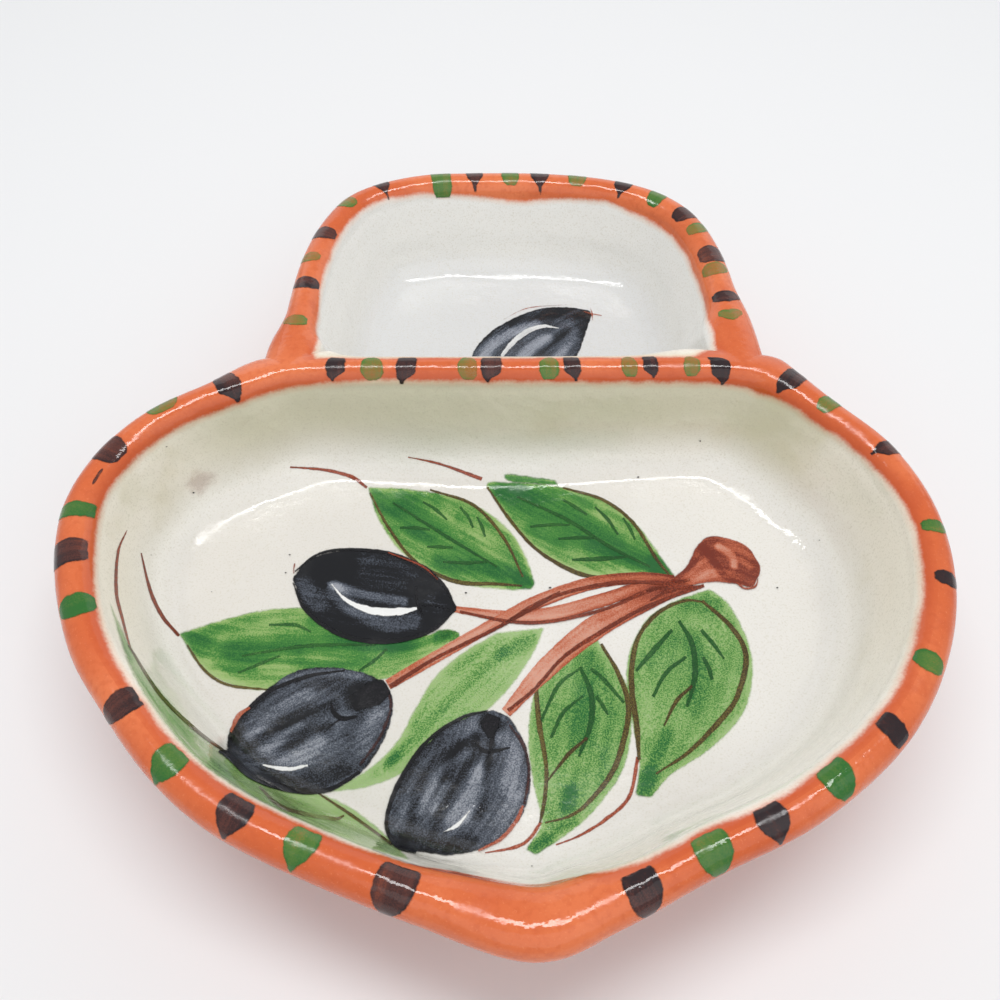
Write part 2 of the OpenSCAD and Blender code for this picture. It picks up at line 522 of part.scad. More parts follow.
large_bowl();
stone_cup();
bowl_foot();
cup_foot();
bowl_slip();
cup_slip();
leaf_back_left();
leaf_back_right();
leaf_left();
leaf_middle();
leaf_wall();
leaf_front();
leaf_right();
stem_upper();
stem_middle();
stem_lower();
twig_stub();
olive_upper();
olive_left();
olive_front();
olive_in_cup();
leaf_outlines();
leaf_veins();
olive_caps();
olive_highlights();
fine_strokes();
rim_dabs_dark();
rim_dabs_green();
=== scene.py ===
# Looks of the hand-made olive dish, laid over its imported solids.
# Metres, Z up, X right, the front point at -Y. Sizes below are in mm and are those of the solids.
import math

import bmesh
import bpy
import numpy as np
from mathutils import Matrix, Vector
from mathutils.bvhtree import BVHTree


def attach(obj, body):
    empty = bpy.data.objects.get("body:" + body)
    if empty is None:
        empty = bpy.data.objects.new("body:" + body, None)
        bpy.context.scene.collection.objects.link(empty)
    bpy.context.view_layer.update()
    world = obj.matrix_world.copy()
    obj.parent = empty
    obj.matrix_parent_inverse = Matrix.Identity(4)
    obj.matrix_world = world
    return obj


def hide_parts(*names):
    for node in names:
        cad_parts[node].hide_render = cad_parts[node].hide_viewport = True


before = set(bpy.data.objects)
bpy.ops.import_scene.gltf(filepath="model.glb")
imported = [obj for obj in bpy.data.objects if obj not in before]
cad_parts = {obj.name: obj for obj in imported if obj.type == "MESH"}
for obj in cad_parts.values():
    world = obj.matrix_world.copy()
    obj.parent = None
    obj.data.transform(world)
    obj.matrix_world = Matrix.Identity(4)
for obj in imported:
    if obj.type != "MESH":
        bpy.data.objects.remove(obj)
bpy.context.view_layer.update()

MM = 0.001
BODY = "root"

# Sizes of the dish
dish_w, bowl_l, cup_l, cup_w, cup_shift, rim_h = 182, 124, 76, 113, 3.4, 36.5
rim_t, bowl_depth, cup_depth = 8, 29, 26
wall_lean, outer_lean, floor_rise = 14, 11, 1.2
web_fill, corner_fill, point_fill = 4, 5, 2.5
foot_h, foot_w, foot_inset = 2.5, 6, 3
slip_t, slip_edge_t = 0.5, 0.02
# Rim radii from the top of the rim to the neck under it, and those that its wide stretch reaches round the point
neck_drop, point_reach = 2.25, 6
mid_share = 0.52  # of the large bowl's length, from the front point to its middle

rim_r = rim_t / 2
half_w = dish_w / 2 - rim_r
ridge_l = bowl_l - rim_r
front_y = rim_r - (bowl_l + cup_l) / 2
divider_y = front_y + ridge_l
half_cup = cup_w / 2 - rim_r
cup_ridge_l = cup_l - rim_r
neck_z = rim_h - neck_drop * rim_r
bowl_mid = np.array([0, front_y + mid_share * ridge_l])
cup_mid = np.array([cup_shift, divider_y + cup_ridge_l / 2])
web_top, web_foot = 0.8 * (rim_r + web_fill), rim_r / 5

# Ridge of the large bowl from the front point: x of half the width, y of the ridge length
bowl_shares = [
    [0.06, 0], [0.20, 0.035], [0.39, 0.102], [0.59, 0.168], [0.78, 0.269], [0.905, 0.385], [0.982, 0.52],
    [0.998, 0.66], [0.95, 0.785], [0.86, 0.875], [0.76, 0.955], [0.65, 0.997], [0.40, 1.002], [0.10, 1],
    [-0.20, 1], [-0.42, 0.999], [-0.57, 0.99], [-0.70, 0.948], [-0.805, 0.907], [-0.90, 0.85],
    [-0.972, 0.765], [-1, 0.665], [-0.968, 0.545], [-0.89, 0.42], [-0.79, 0.326], [-0.66, 0.225],
    [-0.52, 0.152], [-0.33, 0.092], [-0.13, 0.04],
]
# Where the stone cup's ridge joins that of the large bowl, and its own points between
right_join, left_join = 11, 16
cup_shares = [
    [0.995, 0.27], [0.985, 0.46], [0.94, 0.65], [0.855, 0.795], [0.72, 0.89], [0.54, 0.95], [0.32, 0.985],
    [0.07, 1], [-0.20, 1], [-0.45, 0.99], [-0.66, 0.942], [-0.82, 0.86], [-0.92, 0.71], [-0.975, 0.52],
    [-0.992, 0.33], [-0.995, 0.16],
]
# Inner and outer wall: lean, and drop. Each profile leaves its end towards one more point
wall_shares = [[0, 0], [0.115, 0.21], [0.245, 0.44], [0.37, 0.70], [0.515, 0.855], [0.73, 0.955], [1, 1]]
outer_shares = [[0, 0], [0.35, 0.40], [0.65, 0.73], [0.90, 0.96], [1, 1]]
wall_after, outer_after = [1.7, 1.03], [1.1, 1.04]
# How far, in spans of the outline, the inner corner and the outer web reach from where the bowls join
corner_reach, web_reach = 1.3, 1.8

STEPS = 10  # points on the ridge between two outline points
BEAD_TURN = 10  # degrees between two rings of the bead
UNDER_BEAD = -30  # degrees at which the bead ends on the outside
PROFILE_STEPS = 5  # rings between two points of a wall's profile
FLOOR_SHARES = np.linspace(0.9, 0.1, 9)  # rings of the floor, from the foot of the wall to the middle
WELD = 1e-7  # metres within which two points are one
SHARP = math.radians(50)  # a sharper edge isn't shaded smooth


def unit(v):
    return v / np.maximum(np.linalg.norm(v, axis=-1, keepdims=True), 1e-12)


def ease(t):
    t = np.clip(t, 0, 1)
    return t * t * (3 - 2 * t)


def left_of(v):
    return np.stack([-v[..., 1], v[..., 0]], -1)


def curve(points, u, closed=False):
    """Places and directions on a smooth curve through the points, u spans along it."""
    p = np.asarray(points, float)
    n = len(p)
    p = np.vstack([p[-1:], p, p[:2]] if closed else [2 * p[:1] - p[1:2], p, 2 * p[-1:] - p[-2:-1]])
    whole = np.floor(u).astype(int)
    s = whole % n if closed else np.clip(whole, 0, n - 2)
    t = (u - whole if closed else u - s)[:, None]
    a, b, c, d = (p[s + k] for k in range(4))
    place = (2 * b + (c - a) * t + (2 * a - 5 * b + 4 * c - d) * t**2 + (3 * b - a - 3 * c + d) * t**3) / 2
    way = (c - a) + 2 * (2 * a - 5 * b + 4 * c - d) * t + 3 * (3 * b - a - 3 * c + d) * t**2
    return place, unit(way)


def sweep(points, steps):
    """A smooth route through points, with a number of steps between two of them."""
    return curve(points, np.arange((len(points) - 1) * steps + 1) / steps)


def run_along(line):
    """The length along a line up to each of its points."""
    steps = np.linalg.norm(np.diff(line, axis=0), axis=-1)
    return np.concatenate([np.zeros_like(steps[:1]), np.cumsum(steps, 0)])


bowl_points = np.array([[half_w * x, front_y + ridge_l * y] for x, y in bowl_shares])
cup_points = np.vstack([
    bowl_points[right_join],
    [[cup_shift + half_cup * x, divider_y + cup_ridge_l * y] for x, y in cup_shares],
    bowl_points[left_join],
])
outer_spans = len(bowl_points) - left_join + right_join
divider_spans = left_join - right_join
cup_spans = len(cup_points) - 1
# Ways out of the dish, and into the stone cup, at the left and right joints
out_way = unit(np.array([[-0.78, 0.62], [0.74, 0.67]]))
in_way = unit(np.array([[0.72, 0.69], [-0.72, 0.69]]))


class Ridge:
    """The top line of a bowl's rim, once round: its outer stretch, then the divider."""

    def __init__(self, mid, depth, outer, divider):
        self.mid, self.depth = mid, depth
        parts = []
        for on_divider, (points, closed, start, spans, turn, first_side) in enumerate((outer, divider)):
            j = np.arange(spans * STEPS + 1) / STEPS
            place, way = curve(points, start + j * turn, closed)
            side = np.where(j < spans / 2, first_side, 1 - first_side)
            parts.append((place, left_of(way) * turn, np.full(len(j), bool(on_divider)),
                          np.minimum(j, spans - j), side))
        self.place, self.way_in, self.divider, self.spans, self.side = (np.concatenate(p) for p in zip(*parts))
        self.outer_count = len(parts[0][0])
        self.once = np.arange(len(self.place)) < len(self.place) - 1
        self.once[self.outer_count] = False


bowl = Ridge(bowl_mid, bowl_depth, (bowl_points, True, left_join, outer_spans, 1, 0),
             (bowl_points, True, right_join, divider_spans, 1, 1))
cup = Ridge(cup_mid, cup_depth, (cup_points, False, 0, cup_spans, 1, 1),
            (bowl_points, True, left_join, divider_spans, -1, 0))

# From the ridge to the inner edge of the rim, which is wider at the front point and in the cup's corners
front = ease(1 - np.linalg.norm(bowl.place - bowl_points[0], axis=1) / (point_reach * rim_r))
bowl.edge = bowl.way_in * (rim_r + point_fill * front)[:, None]
corner = ease(1 - cup.spans / corner_reach)[:, None]
cup.edge = unit(cup.way_in * (1 - corner) + in_way[cup.side] * corner) * (rim_r + corner_fill * corner)


def at_height(xy, z):
    return np.column_stack([xy, np.full(len(xy), z)])


def profile(shares, after):
    """A profile with more points on the same smooth curve. It leaves its end towards the point after."""
    u = np.arange((len(shares) - 1) * PROFILE_STEPS + 1) / PROFILE_STEPS
    return curve(shares + [after], u)[0]


def inner_rings(ridge):
    """Rings of the inner face of the clay, from the ridge down to near the middle of the floor."""
    top, drop = rim_h - rim_r, ridge.depth - rim_r - floor_rise
    rings = []
    for turn in np.radians(np.arange(90, -1, -BEAD_TURN)):
        rings.append(at_height(ridge.place + ridge.edge * math.cos(turn), top + rim_r * math.sin(turn)))
    edge = ridge.place + ridge.edge
    inward = unit(ridge.mid - edge)
    for lean, fall in profile(wall_shares, wall_after)[1:]:
        rings.append(at_height(edge + inward * wall_lean * lean, top - drop * fall))
    foot = edge + inward * wall_lean
    for r in FLOOR_SHARES:
        rings.append(at_height(ridge.mid + (foot - ridge.mid) * r, rim_h - ridge.depth + floor_rise * r * r))
    return np.array(rings)


def outer_rings(ridge):
    """Rings of the outer face of the clay, from the ridge down to the underside."""
    blend = ease(1 - ridge.spans / web_reach)[:, None]
    way = unit(-ridge.way_in * (1 - blend) + out_way[ridge.side] * blend)
    still = ridge.divider[:, None]
    rings = []
    for turn in np.radians(np.arange(90 - BEAD_TURN, UNDER_BEAD - 1, -BEAD_TURN)):
        out = (rim_r * (1 - blend) + (rim_r + web_fill) * blend) * math.cos(turn)
        rings.append(at_height(np.where(still, ridge.place, ridge.place + way * out),
                               rim_h - rim_r + rim_r * math.sin(turn)))
    inward = unit(ridge.mid - ridge.place)
    for lean_share, fall in profile(outer_shares, outer_after):
        lean = -rim_r / 2 * (1 - lean_share) + outer_lean * lean_share
        stay = web_top * (1 - lean_share) + web_foot * lean_share
        leant = ridge.place + inward * lean
        joined = ridge.place + out_way[ridge.side] * stay
        rings.append(at_height(np.where(still, ridge.place, leant * (1 - blend) + joined * blend),
                               neck_z * (1 - fall) + foot_h * fall))
    return np.array(rings)


def grid_normals(rings):
    """Normals of a grid of rings, out of the clay."""
    along = np.roll(rings, -1, 1) - np.roll(rings, 1, 1)
    down = np.gradient(rings, axis=0)
    return unit(np.cross(along, down))


def add_object(name, data):
    thing = bpy.data.objects.new(name, data)
    bpy.context.scene.collection.objects.link(thing)
    return thing


def mesh_piece(name, points, faces, material, node=None, attributes=None, solid=True):
    """A smooth mesh from points in mm, in place of its node. Each attribute is one value a point."""
    mesh = bpy.data.meshes.new(name)
    mesh.from_pydata((np.asarray(points) * MM).tolist(), [], [list(map(int, f)) for f in faces])
    for key, values in (attributes or {}).items():
        values = np.asarray(values, np.float32)
        kind, field = ("FLOAT", "value") if values.ndim == 1 else ("FLOAT_VECTOR", "vector")
        mesh.attributes.new(key, kind, "POINT").data.foreach_set(field, values.ravel())
    piece = add_object(name, mesh)
    if solid:
        work = bmesh.new()
        work.from_mesh(mesh)
        bmesh.ops.remove_doubles(work, verts=work.verts, dist=WELD)
        bmesh.ops.dissolve_degenerate(work, dist=WELD / 10, edges=work.edges)
        bmesh.ops.recalc_face_normals(work, faces=work.faces)
        work.to_mesh(mesh)
        work.free()
    mesh.shade_smooth()
    if solid:
        mesh.set_sharp_from_angle(angle=SHARP)
    mesh.materials.append(material)
    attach(piece, BODY)
    if node:
        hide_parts(node)


def ring_faces(count, rings, start=0):
    i = np.arange(count)
    j = (i + 1) % count
    faces = []
    for a in start + count * np.arange(rings - 1):
        faces += np.column_stack([a + i, a + j, a + count + j, a + count + i]).tolist()
    return faces


def fan(count, base, end):
    """Triangles from a ring of points to one end point."""
    return [[base + i, base + (i + 1) % count, end] for i in range(count)]


def closed_rings(rings, first, last):
    """Points and faces of a closed solid of rings between two end points."""
    points = np.vstack([[first], rings.reshape(-1, 3), [last]])
    count, end = rings.shape[1], len(points) - 1
    return points, ring_faces(count, len(rings), 1) + fan(count, 1, 0) + fan(count, end - count, end)


class Graph:
    """A material's nodes, with its one Principled shader. Scales of noise are per metre."""

    def __init__(self, name):
        self.material = bpy.data.materials.new(name)
        self.material.use_nodes = True
        self.tree = self.material.node_tree
        self.tree.nodes.clear()
        self.skin = self.add("ShaderNodeBsdfPrincipled")
        out = self.add("ShaderNodeOutputMaterial")
        self.tree.links.new(self.skin.outputs[0], out.inputs["Surface"])

    def add(self, kind, **settings):
        node = self.tree.nodes.new(kind)
        for key, value in settings.items():
            setattr(node, key, value)
        return node

    def fill(self, node, values):
        """Each socket gets its link or its constant."""
        for key, value in values.items():
            if isinstance(value, bpy.types.NodeSocket):
                self.tree.links.new(value, node.inputs[key])
            else:
                node.inputs[key].default_value = value

    def math(self, operation, *values, clamp=False):
        node = self.add("ShaderNodeMath", operation=operation, use_clamp=clamp)
        self.fill(node, dict(enumerate(values)))
        return node.outputs[0]

    def times(self, a, b):
        return self.math("MULTIPLY", a, b)

    def place(self):
        return self.add("ShaderNodeTexCoord").outputs["Object"]

    def attribute(self, name, output="Fac"):
        return self.add("ShaderNodeAttribute", attribute_name=name).outputs[output]

    def split(self, vector):
        node = self.add("ShaderNodeSeparateXYZ")
        self.fill(node, {0: vector})
        return node.outputs

    def noise(self, scale, detail=2.0, roughness=0.5, vector=None, distortion=0.0):
        node = self.add("ShaderNodeTexNoise")
        self.fill(node, {"Vector": vector or self.place(), "Scale": scale, "Detail": detail,
                         "Roughness": roughness, "Distortion": distortion})
        return node.outputs["Fac"]

    def wobble(self, scale, size, detail=2.0, roughness=0.5):
        """Noise of a size round zero."""
        return self.times(self.math("SUBTRACT", self.noise(scale, detail, roughness), 0.5), size)

    def dots(self, scale, size):
        """Sharp small dots, one in some of the cells."""
        cells = self.add("ShaderNodeTexVoronoi")
        self.fill(cells, {"Vector": self.place(), "Scale": scale})
        chance = self.add("ShaderNodeSeparateColor")
        self.fill(chance, {0: cells.outputs["Color"]})
        return self.math("LESS_THAN", cells.outputs["Distance"], self.span(chance.outputs[0], 0.55, 1.0, 0.0, size))

    def span(self, value, low, high, to_low=0.0, to_high=1.0):
        """The value eased from one range to another."""
        node = self.add("ShaderNodeMapRange", interpolation_type="SMOOTHSTEP")
        self.fill(node, {"Value": value, "From Min": low, "From Max": high, "To Min": to_low, "To Max": to_high})
        return node.outputs[0]

    def mix(self, share, a, b):
        node = self.add("ShaderNodeMix", data_type="RGBA")
        self.fill(node, {0: share, 6: a, 7: b})
        return node.outputs[2]

    def bump(self, height, strength, distance, **normal):
        node = self.add("ShaderNodeBump")
        self.fill(node, {"Height": height, "Strength": strength, "Distance": distance, **normal})
        return node.outputs[0]

    def finish(self, color, roughness, **others):
        self.fill(self.skin, {"Base Color": color, "Roughness": roughness, **others})
        return self.material


def rgb(*display):
    """A colour from 0-255 display values to the linear values of a shader."""
    shares = [v / 255 for v in display]
    return (*(v / 12.92 if v <= 0.04045 else ((v + 0.055) / 1.055) ** 2.4 for v in shares), 1.0)


def glaze_normal(g):
    """Slow waves and fine ripples of the clear glaze, the same over clay, slip and paint."""
    waves = g.bump(g.noise(55, 1.5), 0.45, 0.0012)
    return g.bump(g.noise(330, 3.0), 0.35, 0.00045, Normal=waves)


def glaze_roughness(g, dullest=0.24):
    """The glaze's gloss, softer in slow patches."""
    return g.span(g.noise(85, 3.0, 0.6), 0.4, 0.66, 0.07, dullest)


def orange(g):
    """The orange clay: clouds, a little soot-brown, and fine grain."""
    tone = g.mix(g.span(g.noise(38, 3.0), 0.35, 0.68), rgb(210, 98, 50), rgb(228, 122, 74))
    blush = g.span(g.noise(170, 3.0, 0.6), 0.54, 0.74, 0.0, 0.45)
    mottle = g.span(g.noise(800, 3.0), 0.45, 0.7, 0.0, 0.35)
    grain = g.span(g.noise(2600, 2.0), 0.62, 0.72, 0.0, 0.25)
    for share, color in ((blush, rgb(196, 84, 42)), (mottle, rgb(200, 90, 46)), (grain, rgb(240, 150, 100))):
        tone = g.mix(share, tone, color)
    return tone


def clay_material():
    g = Graph("glazed_orange_clay")
    color = g.mix(g.times(g.dots(160, 0.05), 0.5), orange(g), rgb(96, 40, 22))
    return g.finish(color, glaze_roughness(g, 0.26), Normal=glaze_normal(g))


def bare_material():
    g = Graph("bare_clay")
    tone = g.mix(g.span(g.noise(60, 4.0), 0.35, 0.65), rgb(176, 96, 62), rgb(202, 122, 84))
    tone = g.mix(g.span(g.noise(1500, 2.0), 0.55, 0.7, 0.0, 0.4), tone, rgb(150, 78, 50))
    return g.finish(tone, 0.85, Normal=g.bump(g.noise(1800, 3.0), 0.5, 0.0003))


def slip_material():
    """White slip under the glaze, warmer up the walls. Painted light: darker floors, lighter walls, a shaded back wall.
    It thins to the orange clay at its upper edge.
    """
    g = Graph("white_slip")
    _, y, z = g.split(g.place())
    in_bowl = g.span(y, 0.026, 0.034, 1.0, 0.0)
    wall_tint_reach = g.times(in_bowl, g.span(y, -0.07, -0.03, 0.3, 1.0))
    on_wall = g.times(g.span(z, 0.012, 0.027), wall_tint_reach)
    # Painted shade: the large bowl's back wall is darkened towards a grey-green cream
    back_wall_shade = g.math("SUBTRACT", g.span(y, 0.0, 0.014), g.span(y, 0.024, 0.03), clamp=True)
    stains = g.span(g.noise(33, 4.0, 0.6), 0.5, 0.7, 0.0, 0.7)
    grain = g.span(g.noise(2300, 2.0), 0.5, 0.72, 0.0, 0.3)
    # Painted light: the floors get a darker cream and the walls a lighter one, to even out how the lamps light them
    floor_cream = g.mix(g.span(g.noise(24, 3.0), 0.36, 0.66), rgb(223, 219, 212), rgb(230, 227, 221))
    bowl_cream_painted_light = g.mix(g.span(z, 0.0095, 0.0145), floor_cream, rgb(248, 245, 238))
    cup_cream_painted_light = g.mix(g.span(z, 0.0115, 0.02), rgb(215, 215, 214), rgb(240, 239, 234))
    cream = g.mix(in_bowl, cup_cream_painted_light, bowl_cream_painted_light)
    ragged = g.math("ADD", g.attribute("edge"), g.wobble(150, 1.6))
    fuzzy = g.math("ADD", ragged, g.wobble(1700, 0.7))
    for share, color in (
        (g.times(on_wall, 0.45), rgb(240, 228, 202)),
        (g.times(stains, on_wall), rgb(220, 211, 182)),
        (g.times(g.times(back_wall_shade, on_wall), 0.75), rgb(208, 204, 176)),
        (grain, rgb(196, 188, 166)),
        (g.times(g.dots(70, 0.02), 0.8), rgb(70, 62, 60)),
        (g.span(fuzzy, 0.2, 2.0, 0.42, 0.0), rgb(232, 176, 140)),
    ):
        cream = g.mix(share, cream, color)
    skirt = g.mix(g.times(g.span(fuzzy, -3.4, -0.6, 0.0, 0.62), in_bowl), orange(g), rgb(198, 82, 40))
    color = g.mix(g.span(fuzzy, -0.6, 0.8), skirt, cream)
    return g.finish(color, glaze_roughness(g), Normal=glaze_normal(g))


def paint_material(name, thin, middle, thick, opacity=0.95, streaks=0.2, grain=0.18, rim=0.2, rim_mm=1.1, soft=0.35,
                   ragged=0.4):
    """Brushed underglaze: streaks along the stroke, grain of the slip showing through, darker at its edge."""
    g = Graph(name)
    along, across, seed = g.split(g.attribute("brush", "Vector"))
    stretched = g.add("ShaderNodeCombineXYZ")
    g.fill(stretched, {0: g.times(along, 0.055), 1: g.times(across, 0.75), 2: seed})
    hairs = g.span(g.noise(1.0, 3.0, 0.6, stretched.outputs[0], 0.3), 0.3, 0.7, -1.0, 1.0)
    clouds = g.span(g.noise(110, 3.0), 0.3, 0.7, -1.0, 1.0)
    specks = g.span(g.noise(3300, 2.0, 0.6), 0.35, 0.68, -1.0, 1.0)
    edge = g.attribute("edge")
    tone = g.attribute("tone")
    pooled = g.times(g.span(edge, 0.25, rim_mm, 1.0, 0.0), rim)
    for part, weight in ((hairs, streaks), (clouds, 0.1), (specks, -grain), (pooled, 1.0)):
        tone = g.math("MULTIPLY_ADD", part, weight, tone)
    tone = g.math("MINIMUM", tone, 1.0)
    mask = g.span(g.math("ADD", edge, g.wobble(620, ragged * 2, 3.0, 0.6)), 0.0, soft)
    alpha = g.times(mask, g.span(tone, -0.3, 0.6, opacity * 0.62, opacity))
    color = g.mix(g.math("MULTIPLY", tone, 2, clamp=True), rgb(*thin), rgb(*middle))
    color = g.mix(g.math("MULTIPLY_ADD", tone, 2, -1, clamp=True), color, rgb(*thick))
    return g.finish(color, glaze_roughness(g), Normal=glaze_normal(g), Alpha=alpha)


clay, bare, white_slip = clay_material(), bare_material(), slip_material()
# Each paint where it lies thin, middling and thick
leaf_look = dict(soft=0.6, ragged=0.3)
line_look = dict(soft=0.25, ragged=0.2, streaks=0.15)
dab_look = dict(ragged=0.5, grain=0.1)
dark_green = paint_material("green_paint", (162, 198, 108), (72, 136, 56), (28, 98, 42), streaks=0.16, rim=-0.35,
                            rim_mm=1.6, **leaf_look)
light_green = paint_material("pale_green_paint", (156, 196, 110), (96, 148, 70), (34, 104, 46), streaks=0.12,
                             grain=0.38, rim=-0.4, rim_mm=2.0, **leaf_look)
grey_green = paint_material("grey_green_paint", (190, 208, 166), (146, 180, 122), (84, 126, 74), opacity=0.88,
                            soft=1.0, rim=0)
smudge = paint_material("rosy_smudge", (216, 190, 180), (202, 172, 162), (180, 150, 142), opacity=0.28, soft=2.5,
                        ragged=1.2, rim=0)
red_brown = paint_material("red_brown_paint", (230, 160, 132), (188, 96, 64), (118, 42, 22), opacity=0.92, **line_look)
red_line = paint_material("red_line_paint", (208, 120, 88), (160, 70, 42), (104, 42, 24), opacity=0.9, grain=0.3,
                          **line_look)
brown_line = paint_material("brown_line_paint", (128, 118, 62), (100, 86, 40), (68, 52, 24), opacity=0.9, grain=0.3,
                            **line_look)
green_line = paint_material("green_line_paint", (96, 148, 76), (54, 108, 46), (26, 80, 32), opacity=0.85, grain=0.3,
                            **line_look)
black = paint_material("black_paint", (168, 173, 184), (82, 88, 99), (12, 13, 18), opacity=0.98, streaks=0.14,
                       grain=0.2)
black_line = paint_material("black_line_paint", (110, 100, 104), (44, 40, 46), (10, 10, 14), grain=0.3, **line_look)
white = paint_material("white_paint", (222, 222, 222), (234, 234, 232), (246, 246, 244), streaks=0.1, grain=0.1,
                       rim=0)
dab_dark = paint_material("dark_dab_paint", (160, 82, 54), (92, 50, 42), (38, 25, 28), soft=0.4, streaks=0.12,
                          **dab_look)
dab_green = paint_material("green_dab_paint", (166, 124, 60), (88, 124, 52), (42, 108, 42), opacity=0.93, soft=0.45,
                           streaks=0.1, **dab_look)

# Where the slip ends at its upper edge, as shares of the way round and mm down from the ridge
bowl_slip_edge = [
    [0, 5.4], [0.16, 5.3], [0.20, 5.3], [0.235, 3.4], [0.27, 2.7], [0.31, 3.0], [0.35, 3.6], [0.39, 3.5], [0.405, 5.0],
    [0.418, 9.0], [0.433, 11.2], [0.467, 12.0], [0.484, 5.4], [0.50, 3.2], [0.54, 2.3], [0.57, 2.6], [0.65, 3.4],
    [0.70, 3.6], [0.735, 4.8], [0.80, 5.4], [0.815, 6.4], [0.85, 5.2], [0.93, 4.6], [0.95, 4.3], [1, 5.4],
]
cup_slip_edge = [
    [0, 7.5], [0.02, 5.7], [0.07, 6.1], [0.14, 6.8], [0.20, 7.2], [0.25, 6.5], [0.28, 5.5], [0.33, 6.2], [0.37, 7.3],
    [0.40, 6.2], [0.44, 5.0], [0.50, 3.9], [0.60, 3.7], [0.68, 4.2], [0.71, 5.1], [0.75, 6.0], [0.775, 8.0],
    [0.80, 1.5], [0.98, 1.5], [1, 7.5],
]
slip_start, slip_full = 2, 10  # mm from the ridge where the slip begins, and where it has its whole thickness
mid_floor = 60.0  # mm that the middle of the floor counts as away from the slip's edge


def slip_height(arc):
    return slip_edge_t + (slip_t - slip_edge_t) * ease((arc - slip_start) / (slip_full - slip_start))


def make_bowl(ridge, clay_node, slip_node, slip_edge):
    """The clay and the lining of one bowl. The ridge keeps what the paint needs."""
    inner, outer = inner_rings(ridge), outer_rings(ridge)
    middle = [*ridge.mid, rim_h - ridge.depth]
    slip_middle = [*ridge.mid, middle[2] + slip_t]
    points, faces = closed_rings(np.concatenate([inner[::-1], outer]), middle, [*ridge.mid, foot_h])
    mesh_piece(clay_node + "_clay", points, faces, clay, clay_node)
    inner = inner[:, ridge.once]
    arc = run_along(inner)
    lift = slip_height(arc)
    lift[:2] = 0
    upper = (inner + grid_normals(inner) * lift[..., None])[1:]
    share = np.arange(inner.shape[1]) / (inner.shape[1] - 1)
    edge = (arc - np.interp(share, *np.transpose(slip_edge)))[1:]
    points, faces = closed_rings(np.concatenate([inner[:0:-1], upper]), middle, slip_middle)
    values = np.concatenate([[mid_floor], edge[::-1].ravel(), edge.ravel(), [mid_floor]])
    mesh_piece(slip_node + "_lining", points, faces, white_slip, slip_node, {"edge": values})
    face = np.vstack([upper.reshape(-1, 3), [slip_middle]])
    count, end = inner.shape[1], len(face) - 1
    ridge.inner, ridge.outer = inner, outer[:, ridge.once]
    ridge.tree = BVHTree.FromPolygons(face.tolist(), ring_faces(count, len(upper)) + fan(count, end - count, end))


def foot_ring(ridge, node, soft=0.5, corner_gap=0.9):
    """A foot with soft lower edges, the same ring as in the solids. It leaves the corners by the divider free."""
    keep = ~ridge.divider & (ridge.spans > corner_gap)
    place = ridge.place[keep]
    inward = unit(ridge.mid - place)
    section = [(0, foot_h), (0, soft), (soft, 0), (foot_w - soft, 0), (foot_w, soft), (foot_w, foot_h), (0, foot_h)]
    rings = np.array([at_height(place + inward * (outer_lean + foot_inset + d), z) for d, z in section])
    mesh_piece(node + "_ring", rings.reshape(-1, 3), ring_faces(len(place), len(section)), bare, node)


make_bowl(bowl, "large_bowl", "bowl_slip", bowl_slip_edge)
make_bowl(cup, "stone_cup", "cup_slip", cup_slip_edge)
foot_ring(bowl, "bowl_foot")
foot_ring(cup, "cup_foot")

# The photograph's camera: its height over the table, its distance before the middle, its tilt and its focal length
cam_y, cam_z = -122.15, 184.3
cam_tilt = math.radians(54.17)
cam_focal, cam_frame = 888, 1000
above = 60  # mm over the table from which the plan is looked down on


def camera_ray(x, y):
    """Start and direction of the sight line through a place of the picture, in mm."""
    u, v = (x - cam_frame / 2) / cam_focal, (y - cam_frame / 2) / cam_focal
    return Vector((0, cam_y, cam_z)), Vector((
        u, math.cos(cam_tilt) - v * math.sin(cam_tilt), -math.sin(cam_tilt) - v * math.cos(cam_tilt))).normalized()


def plan_ray(x, y):
    return Vector((x, y, above)), Vector((0, 0, -1))


def met(tree, ray, points):
    """Where the rays through a grid of points meet a slip: places and normals."""
    found = []
    for x, y in points.reshape(-1, 2):
        place, normal, _, _ = tree.ray_cast(*ray(x, y))
        found.append((*place, *(normal if normal.z > 0 else -normal)))
    found = np.reshape(found, (*points.shape[:-1], 6))
    return found[..., :3], found[..., 3:]


def seen(points):
    """Places of the picture on the large bowl's slip."""
    return met(bowl.tree, camera_ray, points)


def below(points):
    """Places of the plan on the stone cup's slip."""
    return met(cup.tree, plan_ray, points)


COAT = 0.05  # mm from one level of paint to the next
ROUND_END = 0.25  # mm that the end of a stroke counts as inside its edge
SIDE_STEPS, TOUCH_STEPS, STROKE_STEPS = 12, 6, 8
TOUCH_CORE = 0.4  # share of its half width at which a touch begins to fade
BRUSH_SEEDS = 50  # range of the places in the noise that strokes take their streaks from
rng = np.random.default_rng(7)


